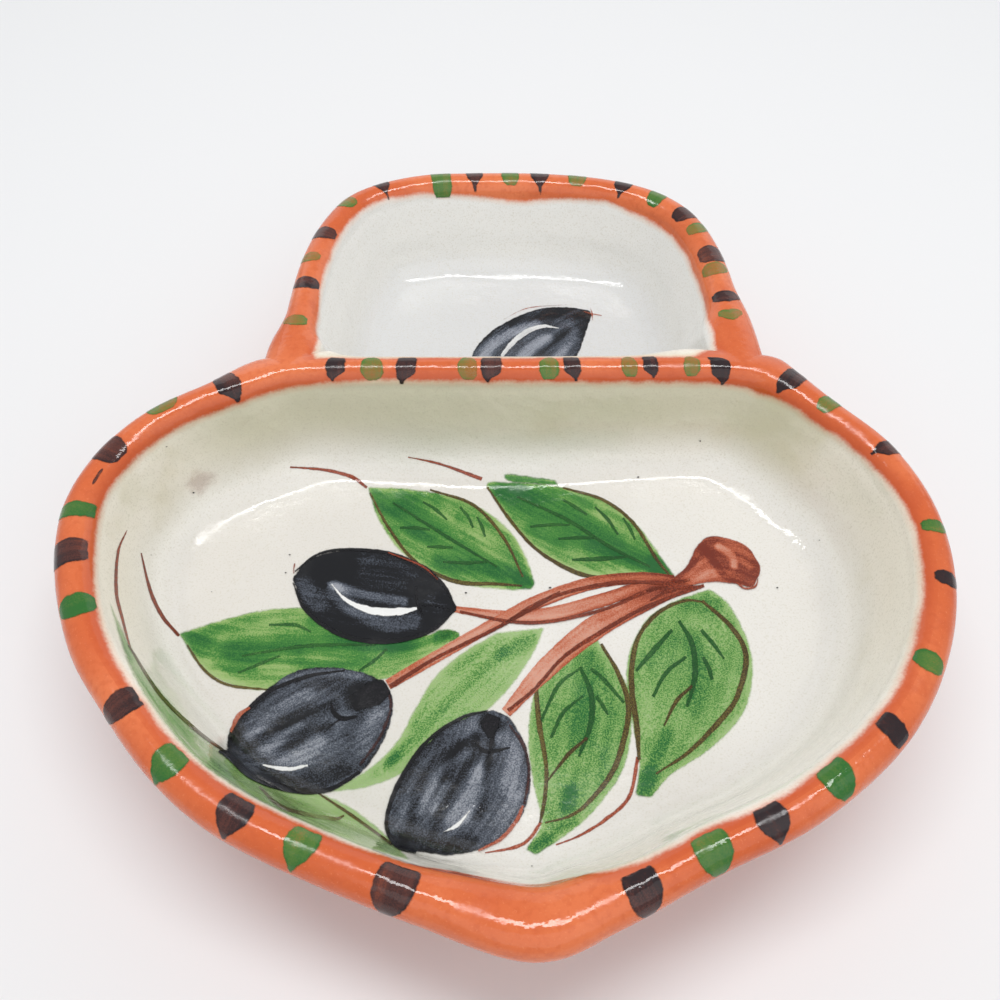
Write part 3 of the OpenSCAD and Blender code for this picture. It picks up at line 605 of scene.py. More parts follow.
class Coat:
    """Painted sheets of one piece, gathered before they become its mesh."""

    def __init__(self):
        self.points, self.faces, self.brush, self.edge, self.tone = [], [], [], [], []
        self.count = 0

    def grid(self, places, along, across, edge, tone):
        rows, cols = places.shape[:2]
        i, j = np.meshgrid(np.arange(rows - 1), np.arange(cols - 1), indexing="ij")
        a = self.count + i * cols + j
        self.faces += np.stack([a, a + 1, a + cols + 1, a + cols], -1).reshape(-1, 4).tolist()
        self.points.append(places.reshape(-1, 3))
        along, across, tone = (np.broadcast_to(v, edge.shape).ravel() for v in (along, across, tone))
        self.brush.append(np.column_stack([along, across, np.full(rows * cols, rng.uniform(0, BRUSH_SEEDS))]))
        self.edge.append(edge.ravel())
        self.tone.append(tone)
        self.count += rows * cols

    def make(self, name, material, node=None):
        values = {"brush": np.vstack(self.brush), "edge": np.concatenate(self.edge), "tone": np.concatenate(self.tone)}
        mesh_piece(name, np.vstack(self.points), self.faces, material, node, values, solid=False)


def smooth_values(values, count):
    """A row for each of count places, from one number, one a place or one row a place."""
    table = np.asarray(values, float)
    table = table.reshape(len(table), -1) if table.ndim else table.reshape(1, 1)
    at = np.linspace(0, len(table) - 1, count)
    return np.array([np.interp(at, np.arange(len(table)), column) for column in table.T]).T


def laid(plan, look, level):
    """A sheet of places on the slip at a level of paint, with its run along the middle and its breadth."""
    spot, normal = look(plan)
    run = run_along(spot[:, plan.shape[1] // 2])[:, None]
    breadth = np.linalg.norm(spot[:, -1] - spot[:, 0], axis=1)[:, None]
    return spot + normal * COAT * level, run, breadth


def stroke(coat, route, widths, tone, level, look=seen, cols=6):
    """One brush stroke along a route of picture places. Its widths are in the route's own units."""
    place, way = sweep(route, STROKE_STEPS)
    n = len(place)
    across = np.linspace(-1, 1, cols + 1)
    plan = place[:, None] + left_of(way)[:, None] * (smooth_values(widths, n) / 2 * across)[..., None]
    sheet, run, breadth = laid(plan, look, level)
    ends = np.minimum(run, run[-1] - run) + ROUND_END
    side = (1 - np.abs(across)) * breadth / 2
    tones = smooth_values(smooth_values(tone, n).T, cols + 1).T
    coat.grid(sheet, run, across * breadth / 2, np.minimum(side, ends), tones)


def line_distance(points, line):
    """The least distance from each point to a line of points."""
    found = []
    for a, step in zip(line[:-1], np.diff(line, axis=0)):
        t = np.clip(((points - a) @ step) / max(step @ step, 1e-9), 0, 1)
        found.append(np.linalg.norm(points - a - t[..., None] * step, axis=-1))
    return np.min(found, axis=0)


def patch(coat, side_a, side_b, base, touches, level=1, look=seen, rows=60, cols=32, unit_mm=0.2):
    """A painted area between two sides that run from one end to the other.

    Its tone is the base, with soft touches of (change, half width, route). unit_mm is about one unit of the plan.
    """
    sides = []
    for side in (side_a, side_b):
        fine = sweep(side, SIDE_STEPS)[0]
        run = run_along(fine)
        sides.append(np.column_stack([np.interp(np.linspace(0, run[-1], rows + 1), run, xy) for xy in fine.T]))
    s = np.linspace(0, 1, cols + 1)
    plan = sides[0][:, None] * (1 - s)[None, :, None] + sides[1][:, None] * s[None, :, None]
    edge = line_distance(plan, np.vstack([sides[0], sides[1][::-1], sides[0][:1]])) * unit_mm
    tone = np.full(edge.shape, float(base))
    for change, reach, route in touches:
        tone += change * (1 - ease(line_distance(plan, sweep(route, TOUCH_STEPS)[0]) / reach - TOUCH_CORE))
    sheet, run, breadth = laid(plan, look, level)
    coat.grid(sheet, run, (s - 0.5) * breadth, edge, tone)


def painted(name, material, slot, node, *areas, **settings):
    """A piece of areas, each of its two sides, its base tone and its touches."""
    coat = Coat()
    for side_a, side_b, base, *touches in areas:
        patch(coat, side_a, side_b, base, touches, **settings)
    coat.make(name, material, node)


def lines(name, material, slot, node, level, *strokes, weight=1.0, **settings):
    """A piece of strokes of (route, widths, tone)."""
    coat = Coat()
    for route, widths, tone in strokes:
        stroke(coat, route, np.multiply(widths, weight), tone, level, **settings)
    coat.make(name, material, node)


# Leaves, each between two sides from its stem end to its tip, in places of the picture
painted("leaf_back_left_paint", dark_green, "dark_green_paint", "leaf_back_left", [
    [(532, 590), (505, 591), (452, 583), (404, 556), (380, 525), (366, 488)],
    [(536, 584), (527, 556), (508, 527), (468, 500), (418, 489), (370, 486)], 0.42,
    (0.5, 9, [(528, 585), (520, 578)]), (0.2, 11, [(400, 510), (450, 545), (510, 575)]),
    (0.3, 14, [(378, 500), (405, 505), (430, 500)]), (0.3, 8, [(440, 562), (480, 568), (505, 572)]),
    (-0.4, 5, [(386, 540), (413, 569), (455, 586), (500, 591)]), (-0.3, 5, [(530, 560), (515, 530), (490, 508)]),
    (-0.15, 8, [(470, 520), (490, 545), (505, 562)]), (-0.2, 6, [(425, 500), (450, 515)]),
    (0.25, 6, [(410, 530), (430, 540)]),
])
painted("leaf_back_right_paint", dark_green, "dark_green_paint", "leaf_back_right", [
    [(677, 581), (650, 582), (600, 579), (556, 564), (516, 532), (484, 485)],
    [(677, 578), (660, 553), (634, 520), (600, 497), (550, 484), (488, 480)], 0.46,
    (0.4, 9, [(675, 579), (655, 563)]), (0.3, 12, [(500, 495), (560, 515), (620, 550), (660, 572)]),
    (0.3, 12, [(500, 488), (550, 492)]), (0.25, 8, [(590, 545), (640, 565)]),
    (-0.4, 8, [(545, 563), (590, 576), (640, 579)]), (-0.15, 7, [(520, 530), (540, 545), (580, 560)]),
    (-0.2, 8, [(600, 510), (630, 535)]), (-0.2, 8, [(640, 570), (610, 566)]), (0.2, 7, [(530, 530), (560, 545)]),
], [
    [(560, 487), (535, 485), (510, 483), (503, 478)],
    [(556, 479), (535, 476), (512, 473), (504, 474)], 0.8,
])
painted("leaf_left_paint", dark_green, "dark_green_paint", "leaf_left", [
    [(459, 635), (443, 650), (415, 666), (388, 680), (320, 687), (252, 691), (205, 673), (178, 635)],
    [(457, 630), (440, 629), (420, 633), (350, 618), (300, 607), (248, 612), (180, 632)], 0.5,
    (0.5, 8, [(452, 633), (440, 637)]), (0.35, 14, [(235, 650), (262, 653)]), (0.3, 9, [(393, 648), (410, 645)]),
    (0.3, 7, [(183, 636), (205, 642)]), (0.25, 10, [(280, 645), (340, 645), (400, 640)]),
    (-0.2, 8, [(225, 636), (260, 626), (300, 620)]), (-0.4, 8, [(203, 666), (240, 687), (300, 687)]),
    (-0.2, 7, [(310, 655), (350, 655)]), (-0.25, 8, [(345, 674), (400, 664), (440, 645)]),
    (-0.3, 6, [(262, 668), (300, 672)]),
], [
    [(461, 638), (452, 643), (436, 643)],
    [(460, 632), (449, 628), (436, 631)], 0.85,
])
painted("leaf_middle_paint", light_green, "light_green_paint", "leaf_middle", [
    [(546, 626), (534, 655), (505, 695), (460, 735), (415, 768), (370, 788), (330, 793)],
    [(495, 632), (462, 652), (434, 676), (412, 712), (398, 738), (372, 765), (330, 791)], 0.06,
    (0.4, 6, [(505, 650), (455, 695), (415, 738), (392, 760)]), (0.3, 6, [(480, 648), (450, 672)]),
    (0.4, 6, [(396, 756), (388, 764)]), (0.3, 8, [(530, 640), (500, 655)]), (0.25, 5, [(430, 690), (412, 725)]),
    (-0.15, 5, [(520, 660), (470, 705)]), (0.3, 6, [(455, 735), (420, 760)]), (-0.2, 8, [(365, 775), (345, 788)]),
])
painted("leaf_wall_paint", grey_green, "light_green_paint", "leaf_wall", [
    [(107, 594), (113, 622), (128, 668), (152, 710), (190, 756), (240, 792), (300, 822)],
    [(107, 594), (124, 630), (148, 672), (185, 716), (224, 752), (270, 786), (300, 798)], 0.02,
    (0.25, 5, [(120, 640), (150, 690), (190, 735)]), (0.35, 9, [(215, 765), (240, 775)]),
    (0.4, 4, [(109, 600), (130, 660)]), (0.2, 6, [(170, 722), (215, 770), (260, 800)]),
])
painted("leaf_wall_tip_paint", light_green, "light_green_paint", None, [
    [(222, 764), (250, 796), (310, 826), (370, 850), (412, 862)],
    [(226, 752), (262, 780), (330, 796), (375, 824), (412, 861)], -0.15,
    (0.35, 7, [(232, 766), (262, 786)]), (0.35, 6, [(300, 805), (350, 835), (395, 855)]),
    (-0.1, 7, [(290, 795), (330, 808)]), (0.2, 5, [(262, 800), (330, 830)]),
], level=1.5)
painted("leaf_front_paint", light_green, "light_green_paint", "leaf_front", [
    [(597, 638), (566, 657), (535, 688), (527, 742), (533, 790), (540, 822), (524, 850)],
    [(599, 640), (613, 660), (631, 692), (632, 738), (620, 778), (585, 822), (536, 857)], 0.36,
    (0.35, 14, [(588, 662), (585, 700), (580, 740)]), (0.7, 9, [(571, 792), (568, 806)]),
    (0.65, 9, [(546, 842), (532, 850)]), (0.25, 6, [(600, 670), (612, 710), (600, 760)]),
    (-0.2, 8, [(545, 760), (550, 800)]), (0.2, 6, [(580, 770), (570, 790)]), (0.25, 5, [(555, 832), (575, 822)]),
])
painted("leaf_right_paint", light_green, "light_green_paint", "leaf_right", [
    [(708, 588), (670, 602), (643, 622), (626, 662), (628, 708), (638, 760), (634, 796)],
    [(714, 590), (733, 608), (753, 655), (748, 706), (716, 746), (672, 776), (652, 799)], 0.32,
    (0.3, 14, [(690, 598), (712, 604)]), (0.35, 12, [(692, 640), (700, 670), (694, 705)]),
    (0.75, 12, [(648, 776), (643, 792)]), (0.35, 7, [(668, 735), (655, 760)]), (0.25, 8, [(672, 640), (650, 660)]),
    (-0.2, 8, [(645, 690), (648, 730)]), (0.2, 8, [(715, 690), (700, 720)]), (-0.1, 6, [(735, 680), (715, 735)]),
])
painted("slip_smudge", smudge, "white_slip", None, [
    [(180, 484), (196, 466), (220, 470)],
    [(180, 488), (200, 500), (222, 478)], 0.3,
    (0.3, 8, [(196, 482), (208, 478)]),
])
lines(
    "dark_vein_strokes", green_line, "dark_green_paint", None, 2,
    ([(393, 503), (447, 537), (497, 567)], [2, 3, 2], 0.6), ([(400, 528), (415, 528), (430, 530)], [2, 3, 2], 0.5),
    ([(427, 547), (440, 547), (453, 548)], [2, 3, 2], 0.5), ([(443, 562), (465, 563), (487, 562)], [2, 3, 2], 0.5),
    ([(423, 502), (436, 510), (447, 520)], [2, 3, 2], 0.5), ([(460, 507), (468, 517), (473, 528)], [2, 3, 2], 0.5),
    ([(477, 517), (482, 527), (485, 537)], [2, 3, 2], 0.5),
    ([(517, 497), (567, 520), (610, 547), (650, 567)], [2, 3, 3, 2], 0.6),
    ([(530, 527), (550, 525), (570, 525)], [2, 3, 2], 0.5), ([(558, 539), (578, 538), (597, 538)], [2, 3, 2], 0.6),
    ([(572, 560), (600, 559), (627, 557)], [2, 4, 2], 0.7), ([(563, 500), (575, 507), (587, 515)], [2, 3, 2], 0.5),
    ([(595, 507), (608, 520), (618, 535)], [2, 3, 2], 0.6), ([(623, 518), (630, 529), (635, 540)], [2, 3, 2], 0.5),
    ([(242, 656), (297, 647), (331, 645), (376, 645)], [2, 3, 3, 2], 0.5),
    ([(238, 673), (260, 664), (280, 656)], [2, 3, 2], 0.5), ([(359, 671), (374, 661), (387, 649)], [2, 3, 2], 0.5),
    ([(269, 625), (295, 625), (311, 632)], [2, 3, 2], 0.4),
    weight=1.5)
lines(
    "leaf_edge_strokes", brown_line, "dark_brown_paint", None, 2,
    ([(370, 493), (390, 530), (417, 563), (457, 582), (493, 584), (522, 586)], [2, 3, 3, 4, 3, 2], 0.5),
    ([(430, 490), (473, 505), (503, 537), (523, 577)], [2, 3, 3, 2], 0.5),
    ([(487, 487), (510, 520), (537, 550), (577, 573), (617, 580), (650, 579)], [2, 3, 3, 4, 3, 2], 0.5),
    ([(563, 488), (603, 500), (633, 523), (657, 560), (672, 578)], [2, 3, 3, 3, 2], 0.5),
    ([(187, 645), (204, 670), (228, 685), (269, 690)], [2, 3, 3, 2], 0.4),
    ([(128, 645), (159, 694), (193, 728), (226, 753)], [1.5, 3, 3, 2], 0.7),
    ([(259, 787), (283, 808), (331, 819), (344, 816)], [2, 3, 3, 2], 0.3),
    ([(316, 792), (352, 816), (392, 845)], [2, 3, 2], 0.5),
    weight=1.4)

# Olives, each between two sides from its stem end to its far end. The cup's olive is in places of the plan
painted("olive_upper_paint", black, "black_paint", "olive_upper", [
    [(457, 611), (430, 632), (388, 642), (343, 635), (307, 612), (293, 584)],
    [(456, 606), (446, 585), (425, 565), (388, 551), (349, 549), (309, 559), (292, 578)], 1.2,
    (-0.45, 13, [(302, 588), (318, 600)]), (-0.6, 9, [(335, 592), (352, 608), (385, 624), (414, 621)]),
    (-0.7, 5, [(332, 585), (360, 594), (404, 602)]), (-0.25, 5, [(350, 560), (390, 562), (415, 575)]),
    (-0.2, 8, [(360, 576), (400, 585)]), (0.3, 10, [(329, 572), (350, 562)]), (-0.2, 6, [(430, 600), (440, 608)]),
], level=4)
painted("olive_left_paint", black, "black_paint", "olive_left", [
    [(389, 686), (394, 708), (384, 741), (362, 773), (332, 790), (302, 794), (264, 785), (230, 762)],
    [(386, 683), (366, 673), (329, 667), (293, 672), (260, 695), (232, 725), (226, 742), (226, 752)], 0.66,
    (0.5, 12, [(380, 686), (356, 700)]), (0.35, 6, [(246, 749), (293, 720), (335, 706)]),
    (0.3, 8, [(262, 776), (300, 784), (345, 770)]), (-0.3, 6, [(250, 736), (285, 706), (310, 694)]),
    (-0.4, 9, [(275, 758), (300, 756), (318, 742)]), (-0.2, 8, [(360, 748), (378, 715)]),
    (0.3, 5, [(270, 762), (300, 738), (330, 726)]), (-0.25, 5, [(262, 752), (300, 726)]),
    (0.3, 6, [(232, 757), (240, 720), (270, 690)]), (0.15, 8, [(300, 680), (350, 685)]),
    (-0.25, 5, [(280, 680), (330, 672), (370, 678)]), (0.2, 5, [(345, 735), (360, 715)]),
], level=4)
painted("olive_front_paint", black, "black_paint", "olive_front", [
    [(494, 710), (510, 718), (527, 748), (531, 788), (517, 824), (482, 850), (446, 857)],
    [(488, 710), (470, 716), (443, 729), (412, 760), (392, 794), (385, 826), (400, 850)], 0.6,
    (0.5, 9, [(486, 722), (496, 726)]), (0.4, 5, [(490, 730), (490, 746)]),
    (0.35, 6, [(410, 822), (425, 775), (460, 745)]), (0.3, 5, [(432, 835), (450, 790), (480, 750)]),
    (-0.35, 5, [(420, 812), (440, 775), (465, 752)]), (-0.3, 4, [(432, 810), (448, 784)]),
    (-0.4, 7, [(452, 822), (470, 795), (478, 772)]), (0.3, 6, [(478, 815), (485, 780), (488, 760)]),
    (0.3, 9, [(400, 840), (430, 848), (470, 842)]), (-0.25, 9, [(510, 790), (512, 750), (500, 735)]),
    (0.2, 6, [(393, 820), (410, 770), (440, 738)]), (-0.15, 7, [(500, 820), (515, 800)]),
    (0.45, 7, [(444, 778), (458, 755), (476, 738)]), (-0.3, 4, [(482, 762), (480, 795), (464, 822)]),
], level=4)
painted("olive_in_cup_paint", black, "black_paint", "olive_in_cup", [
    [(26, 67), (24, 60), (21, 51), (16, 43), (9, 37), (1, 35), (-5, 37.5)],
    [(25.5, 69), (18, 70.5), (10, 69.5), (0, 63.5), (-6, 56), (-8.5, 48), (-8, 41.5), (-5, 37.5)], 0.72,
    (0.3, 2.2, [(25, 67), (14, 68), (4, 64)]), (-0.6, 1.8, [(-6, 44), (-3, 54), (4, 61), (10, 64)]),
    (-0.6, 2, [(3, 42), (7, 52), (13, 58)]), (0.3, 1.4, [(7, 44), (12, 54), (19, 61)]),
    (-0.35, 1.8, [(12, 44), (17, 53), (21, 60)]), (0.3, 2.5, [(23, 66), (23, 60)]),
], look=below, unit_mm=1.0)
lines(
    "olive_edge_strokes", black_line, "black_paint", None, 5,
    ([(293, 583), (307, 612), (343, 636), (388, 642), (430, 632), (456, 610)], [2, 4, 5, 5, 4, 2], 0.9),
    ([(295, 572), (320, 554), (355, 550), (400, 557), (440, 582), (456, 608)], [2, 3, 3, 4, 4, 2], 0.9),
    ([(416, 587), (417, 602), (423, 616)], [2, 3, 1.5], 0.9),
    ([(422, 606), (436, 606), (450, 611)], [1.5, 3, 2], 0.9),
    ([(218, 752), (228, 756), (252, 777), (293, 791), (329, 790), (360, 772)], [2, 6, 6, 6, 5, 3], 0.85),
    ([(228, 748), (241, 719), (266, 694), (307, 677), (345, 671)], [3, 3, 4, 4, 2], 0.8),
    ([(331, 702), (334, 713), (343, 719), (357, 717)], [2, 5, 5, 3], 1.0),
    ([(344, 718), (334, 724), (327, 731)], [3, 2, 1], 0.7),
    ([(488, 711), (460, 719), (425, 744), (398, 785), (386, 824), (396, 846), (416, 853)],
     [2, 4, 4, 5, 4, 4, 2], 0.9),
    ([(475, 742), (482, 750), (491, 752), (510, 748)], [2, 4, 5, 2], 1.0),
    ([(494, 730), (491, 745), (488, 759)], [5, 4, 1], 0.9),
    weight=1.2)
lines(
    "olive_cap_strokes", black_line, "black_paint", "olive_caps", 6,
    ([(387, 686), (374, 694), (352, 705)], [17, 26, 17], 1.0),
    ([(494, 716), (490, 726), (490, 738)], [14, 20, 6], 1.0))
lines(
    "olive_brown_strokes", dab_dark, "dark_brown_paint", None, 6,
    ([(388, 692), (391, 708), (380, 738), (360, 766)], [3, 4, 5, 3], 0.75),
    ([(507, 722), (524, 747), (529, 774), (524, 805)], [3, 5, 6, 4], 0.7))
lines(
    "olive_red_strokes", red_line, "red_brown_paint", None, 6,
    ([(388, 553), (421, 566), (438, 580)], [2, 3, 2], 0.5), ([(295, 564), (294, 569), (294, 574)], [2, 2, 2], 0.4),
    ([(250, 708), (238, 717), (230, 733)], [3, 6, 4], 0.15),
    ([(523, 806), (516, 822), (500, 840), (478, 852)], [4, 5, 5, 3], 0.1))
shine = Coat()
for route, widths in (
    ([(332, 585), (348, 602), (376, 612), (400, 612), (417, 609)], [2, 5, 9, 9, 3]),
    ([(262, 766), (285, 770), (308, 766)], [2, 6, 3]), ([(443, 833), (458, 825), (470, 811)], [2, 6, 2]),
):
    stroke(shine, route, widths, 0.8, 6)
stroke(shine, [(-1, 46), (1.5, 53), (6, 59.5), (11.5, 62.8), (16.5, 62)], [0.4, 1.5, 2.2, 1.8, 0.4], 0.3, 2, below)
shine.make("olive_shine_strokes", white, "olive_highlights")

# Twig: translucent bands from the knob to each olive, darker along their lower side, and the knob itself, with painted
# highlights on its head
band = [[1.0, 0.9, 0.8, 0.9, 0.85], [0.85, 0.7, 0.6, 0.7, 0.65], [0.5, 0.3, 0.2, 0.4, 0.2],
        [0.35, 0.15, 0.05, 0.25, 0.1], [0.3, 0.15, 0.05, 0.2, 0.1], [0.4, 0.2, 0.1, 0.3, 0.1]]
for node, level, route, widths in (
    ("stem_middle", 3, [(674, 580), (640, 578), (590, 584), (540, 601), (500, 621), (445, 652), (388, 685)],
     [10, 12, 14, 15, 13, 13, 12]),
    ("stem_upper", 2, [(678, 582), (640, 588), (600, 601), (550, 614), (505, 616), (452, 609)],
     [11, 13, 15, 15, 12, 7]),
    ("stem_lower", 4, [(692, 583), (645, 602), (592, 630), (545, 670), (506, 713)], [12, 20, 25, 22, 12]),
):
    lines(node + "_stroke", red_brown, "red_brown_paint", node, level, (route, widths, band), cols=10)
painted("twig_stub_stroke", red_brown, "red_brown_paint", "twig_stub", [
    [(671, 583), (690, 586), (715, 583), (740, 586), (752, 588), (760, 576)],
    [(671, 579), (686, 566), (698, 544), (714, 536), (745, 545), (761, 566)], 0.5,
    (0.5, 13, [(712, 549), (728, 562), (746, 572)]), (0.35, 4, [(704, 548), (722, 574), (736, 584)]),
    # The lighter touches on the knob's head are painted highlights
    (0.3, 5, [(676, 581), (690, 566), (701, 549)]), (-0.75, 4, [(718, 547), (732, 557), (734, 566)]),
    (-0.4, 3, [(740, 560), (750, 568)]), (-0.2, 6, [(690, 578), (712, 574)]),
], level=5, unit_mm=0.17)
lines(
    "stem_line_strokes", red_line, "red_brown_paint", None, 5,
    ([(672, 584), (617, 583), (563, 594), (530, 610), (496, 629), (435, 659), (390, 687)],
     [3, 4, 4, 4, 4, 4, 5], 0.8),
    ([(668, 588), (650, 591), (603, 610), (550, 622), (510, 622), (460, 612)], [4, 4, 4, 4, 4, 3], 0.7),
    ([(704, 586), (647, 607), (597, 635), (563, 658), (534, 690), (508, 711)], [4, 4, 5, 4, 4, 4], 0.75),
    ([(690, 580), (650, 590), (620, 602)], [3, 4, 1.5], 0.6), ([(496, 629), (530, 607), (560, 592)], [2, 3, 2], 0.6),
    weight=1.15)
lines(
    "knob_edge_strokes", red_line, "red_brown_paint", None, 6,
    ([(736, 583), (745, 589), (755, 587), (758, 579)], [3, 3, 3, 2], 0.3),
    ([(703, 586), (672, 590), (650, 601)], [2, 5, 3], 0.8))

# Iron specks in the slip: x, y and size in the picture
specks = ((290, 555, 1.2), (286, 573, 1.1), (466, 593, 1.2), (550, 588, 1.4), (553, 649, 0.9), (638, 477, 1.1),
          (193, 492, 1.0), (150, 555, 0.9), (212, 592, 0.8), (166, 446, 1.0), (680, 643, 0.9), (532, 867, 1.0),
          (777, 588, 1.0), (607, 575, 0.8), (740, 700, 0.7), (820, 540, 0.8), (262, 610, 0.7), (700, 440, 0.9))
lines("iron_specks", black_line, "dark_brown_paint", None, 6, *[
    ([(x - size, y), (x, y + 0.3), (x + size, y)], [1.2 * size, 2.2 * size, 1.2 * size], 0.9) for x, y, size in specks])

# Outlines and veins of the two front leaves, and the loose strokes
lines(
    "leaf_outline_strokes", brown_line, "dark_brown_paint", "leaf_outlines", 2,
    ([(601, 644), (618, 673), (628, 702), (626, 731), (613, 771), (589, 802), (570, 816), (545, 823)],
     [3, 4, 5, 5, 5, 4, 3, 2], 0.55),
    ([(536, 689), (539, 723), (546, 765), (545, 797), (540, 823)], [4, 5, 4, 4, 3], 0.45),
    ([(703, 602), (684, 601), (658, 613), (639, 636), (632, 665), (632, 692), (637, 728), (639, 760)],
     [2, 3, 4, 4, 5, 5, 5, 3], 0.6),
    ([(702, 601), (732, 628), (746, 657), (737, 697), (718, 723), (689, 752), (656, 774)],
     [3, 4, 5, 5, 5, 4, 2], 0.6),
    weight=1.35)
lines(
    "leaf_vein_strokes", green_line, "dark_brown_paint", "leaf_veins", 2,
    ([(580, 667), (591, 694), (591, 723), (579, 757)], [3, 5, 5, 3], 0.75),
    ([(579, 669), (558, 686), (541, 721)], [2, 4, 3], 0.6), ([(583, 696), (563, 713), (551, 738)], [2, 4, 3], 0.6),
    ([(591, 669), (605, 681), (624, 703)], [3, 4, 3], 0.6), ([(596, 696), (603, 706), (608, 715)], [3, 4, 2], 0.6),
    ([(679, 621), (692, 644), (695, 676), (687, 707)], [3, 5, 5, 3], 0.75),
    ([(672, 630), (655, 649), (636, 671)], [3, 5, 3], 0.7), ([(686, 657), (666, 673), (653, 697)], [3, 4, 3], 0.7),
    ([(701, 630), (713, 644), (724, 659)], [3, 4, 2], 0.7), ([(703, 657), (709, 669), (712, 680)], [3, 4, 3], 0.7),
    weight=1.35)
lines(
    "brown_vein_strokes", brown_line, "dark_brown_paint", None, 3,
    ([(587, 738), (568, 755), (547, 782)], [3, 4, 2], 0.8), ([(692, 686), (676, 702), (664, 726)], [3, 4, 2], 0.7),
    weight=1.3)
lines(
    "fine_brush_strokes", red_line, "red_brown_paint", "fine_strokes", 1,
    ([(290, 467), (325, 470), (352, 477), (367, 488)], [2, 3.5, 4, 3], 0.5),
    ([(408, 457), (440, 464), (482, 479)], [1.5, 3, 4], 0.4),
    ([(141, 553), (150, 590), (162, 616), (179, 636)], [1.5, 3.5, 4, 3], 0.6),
    ([(127, 530), (118, 552), (116, 590), (122, 618), (130, 648)], [1.5, 3, 3.5, 3, 2], 0.6),
    ([(638, 757), (629, 797), (605, 820), (579, 836), (556, 845)], [4, 4, 4, 3, 2], 0.3),
    ([(541, 822), (530, 838), (516, 847), (485, 853)], [4, 4, 4, 2], 0.4),
    weight=1.2)
lines(
    "pit_cross_strokes", red_line, "red_brown_paint", None, 3,
    ([(23.2, 68.6), (25.7, 67.4), (28.7, 66.4)], [0.3, 0.6, 0.4], 0.2),
    ([(25.6, 70), (26, 67.4), (26, 64.6)], [0.3, 0.6, 0.3], 0.2),
    ([(1, 65.6), (8, 70), (19, 71.2)], [0.2, 0.5, 0.2], 0.3),
    look=below)


# Dabs over the rim lie on strips of the surface across it, from its far or outer side to its near or inner one.
# Each strip has its grid of places, its row on the ridge, and whether both of its sides are lined
def outer_strip(ridge):
    count = ridge.outer_count
    return np.concatenate([ridge.outer[::-1, :count], ridge.inner[:, :count]]), len(ridge.outer), False


def divider_columns(ridge):
    return np.concatenate([ridge.inner[:, ridge.outer_count - 1:], ridge.inner[:, :1]], axis=1)


strips = {
    "bowl": outer_strip(bowl),
    "cup": outer_strip(cup),
    "divider": (np.concatenate([divider_columns(cup)[:0:-1, ::-1], divider_columns(bowl)]), len(cup.inner) - 1, True),
}
spans_of = {"bowl": outer_spans, "cup": cup_spans, "divider": divider_spans}
# Breadth of a dab from its far or outer end to its near or inner one
dab_shapes = {
    "drip in": [0.8, 0.95, 1, 1, 1, 1, 0.92, 0.65, 0.3, 0.18],
    "drip out": [0.1, 0.2, 0.4, 0.62, 0.82, 0.95, 1, 1, 0.95, 0.8],
    "point in": [0.75, 0.95, 1, 1, 0.97, 0.85, 0.5, 0.26, 0.18, 0.1],
    "taper": [0.3, 0.5, 0.7, 0.85, 0.95, 1, 1, 1, 0.97, 0.85],
    "block": [0.6, 0.85, 0.95, 1, 1, 1, 1, 0.95, 0.75],
    "round": [0.35, 0.75, 0.92, 1, 1, 0.97, 0.85, 0.5],
}
dab_rows, dab_cols, dab_level = 26, 14, 1.5
drip_bend, drip_from, drip_over = 0.12, 0.65, 0.2  # share of the width, and of the length where a drip turns
most_lean, lean_loss = 0.6, 0.15  # mm that a dab leans at most, and the share of its breadth that a mm takes
tone_wave, tone_slope, blunt_end = 0.16, 0.2, 0.15


def dab(coat, stretch, share, width, start, end, shape, tone):
    """A dab across the rim: share along its stretch, width along the rim and its two ends in mm from the ridge."""
    whole, ridge_row, lined = strips[stretch]
    column = int(round(share * spans_of[stretch] * STEPS))
    step = np.linalg.norm(whole[ridge_row, column + 1] - whole[ridge_row, column - 1]) / 2
    arc = run_along(whole[:, column])
    arc = arc - arc[ridge_row]
    arcs = np.linspace(start, end, dab_rows + 1)[:, None]
    shifts = np.linspace(-width / 2, width / 2, dab_cols + 1)[None]
    r = np.interp(arcs, arc, np.arange(len(whole)))
    c = np.clip(column + shifts / step, 0, whole.shape[1] - 1.001)
    i, j = np.minimum(r.astype(int), len(whole) - 2), c.astype(int)
    u, v = (r - i)[..., None], (c - j)[..., None]
    a, b, d, e = whole[i, j], whole[i, j + 1], whole[i + 1, j], whole[i + 1, j + 1]
    places = (a * (1 - v) + b * v) * (1 - u) + (d * (1 - v) + e * v) * u
    normals = unit(np.cross(b - a + e - d, d - a + e - b))
    t = np.linspace(0, 1, dab_rows + 1)[:, None]
    lean = rng.uniform(-most_lean, most_lean)
    breadth = np.interp(t, np.linspace(0, 1, len(dab_shapes[shape])), dab_shapes[shape])
    half = width / 2 * breadth * (1 - abs(lean) * lean_loss)
    bend = lean * (t - 0.5)
    if shape == "drip in":
        bend = bend + math.copysign(drip_bend * width, lean) * ease((t - drip_from) / drip_over)
    edge = np.minimum(half - np.abs(shifts - bend), np.minimum(t, 1 - t) * (end - start) + blunt_end)
    lift = np.where((arcs > 0) | lined, slip_height(np.abs(arcs)), 0)[..., None] + COAT * dab_level
    tones = tone + tone_wave * np.sin(3 * t + rng.uniform(0, 6)) + tone_slope * shifts / width
    coat.grid(places + normals * lift, arcs, shifts, edge, tones)


def dabs(name, material, node, table):
    """A piece of dabs, in rows of (share, width, start, end, shape, tone) for each stretch."""
    coat = Coat()
    for stretch, rows in table.items():
        for row in rows:
            dab(coat, stretch, *row)
    coat.make(name, material, node)


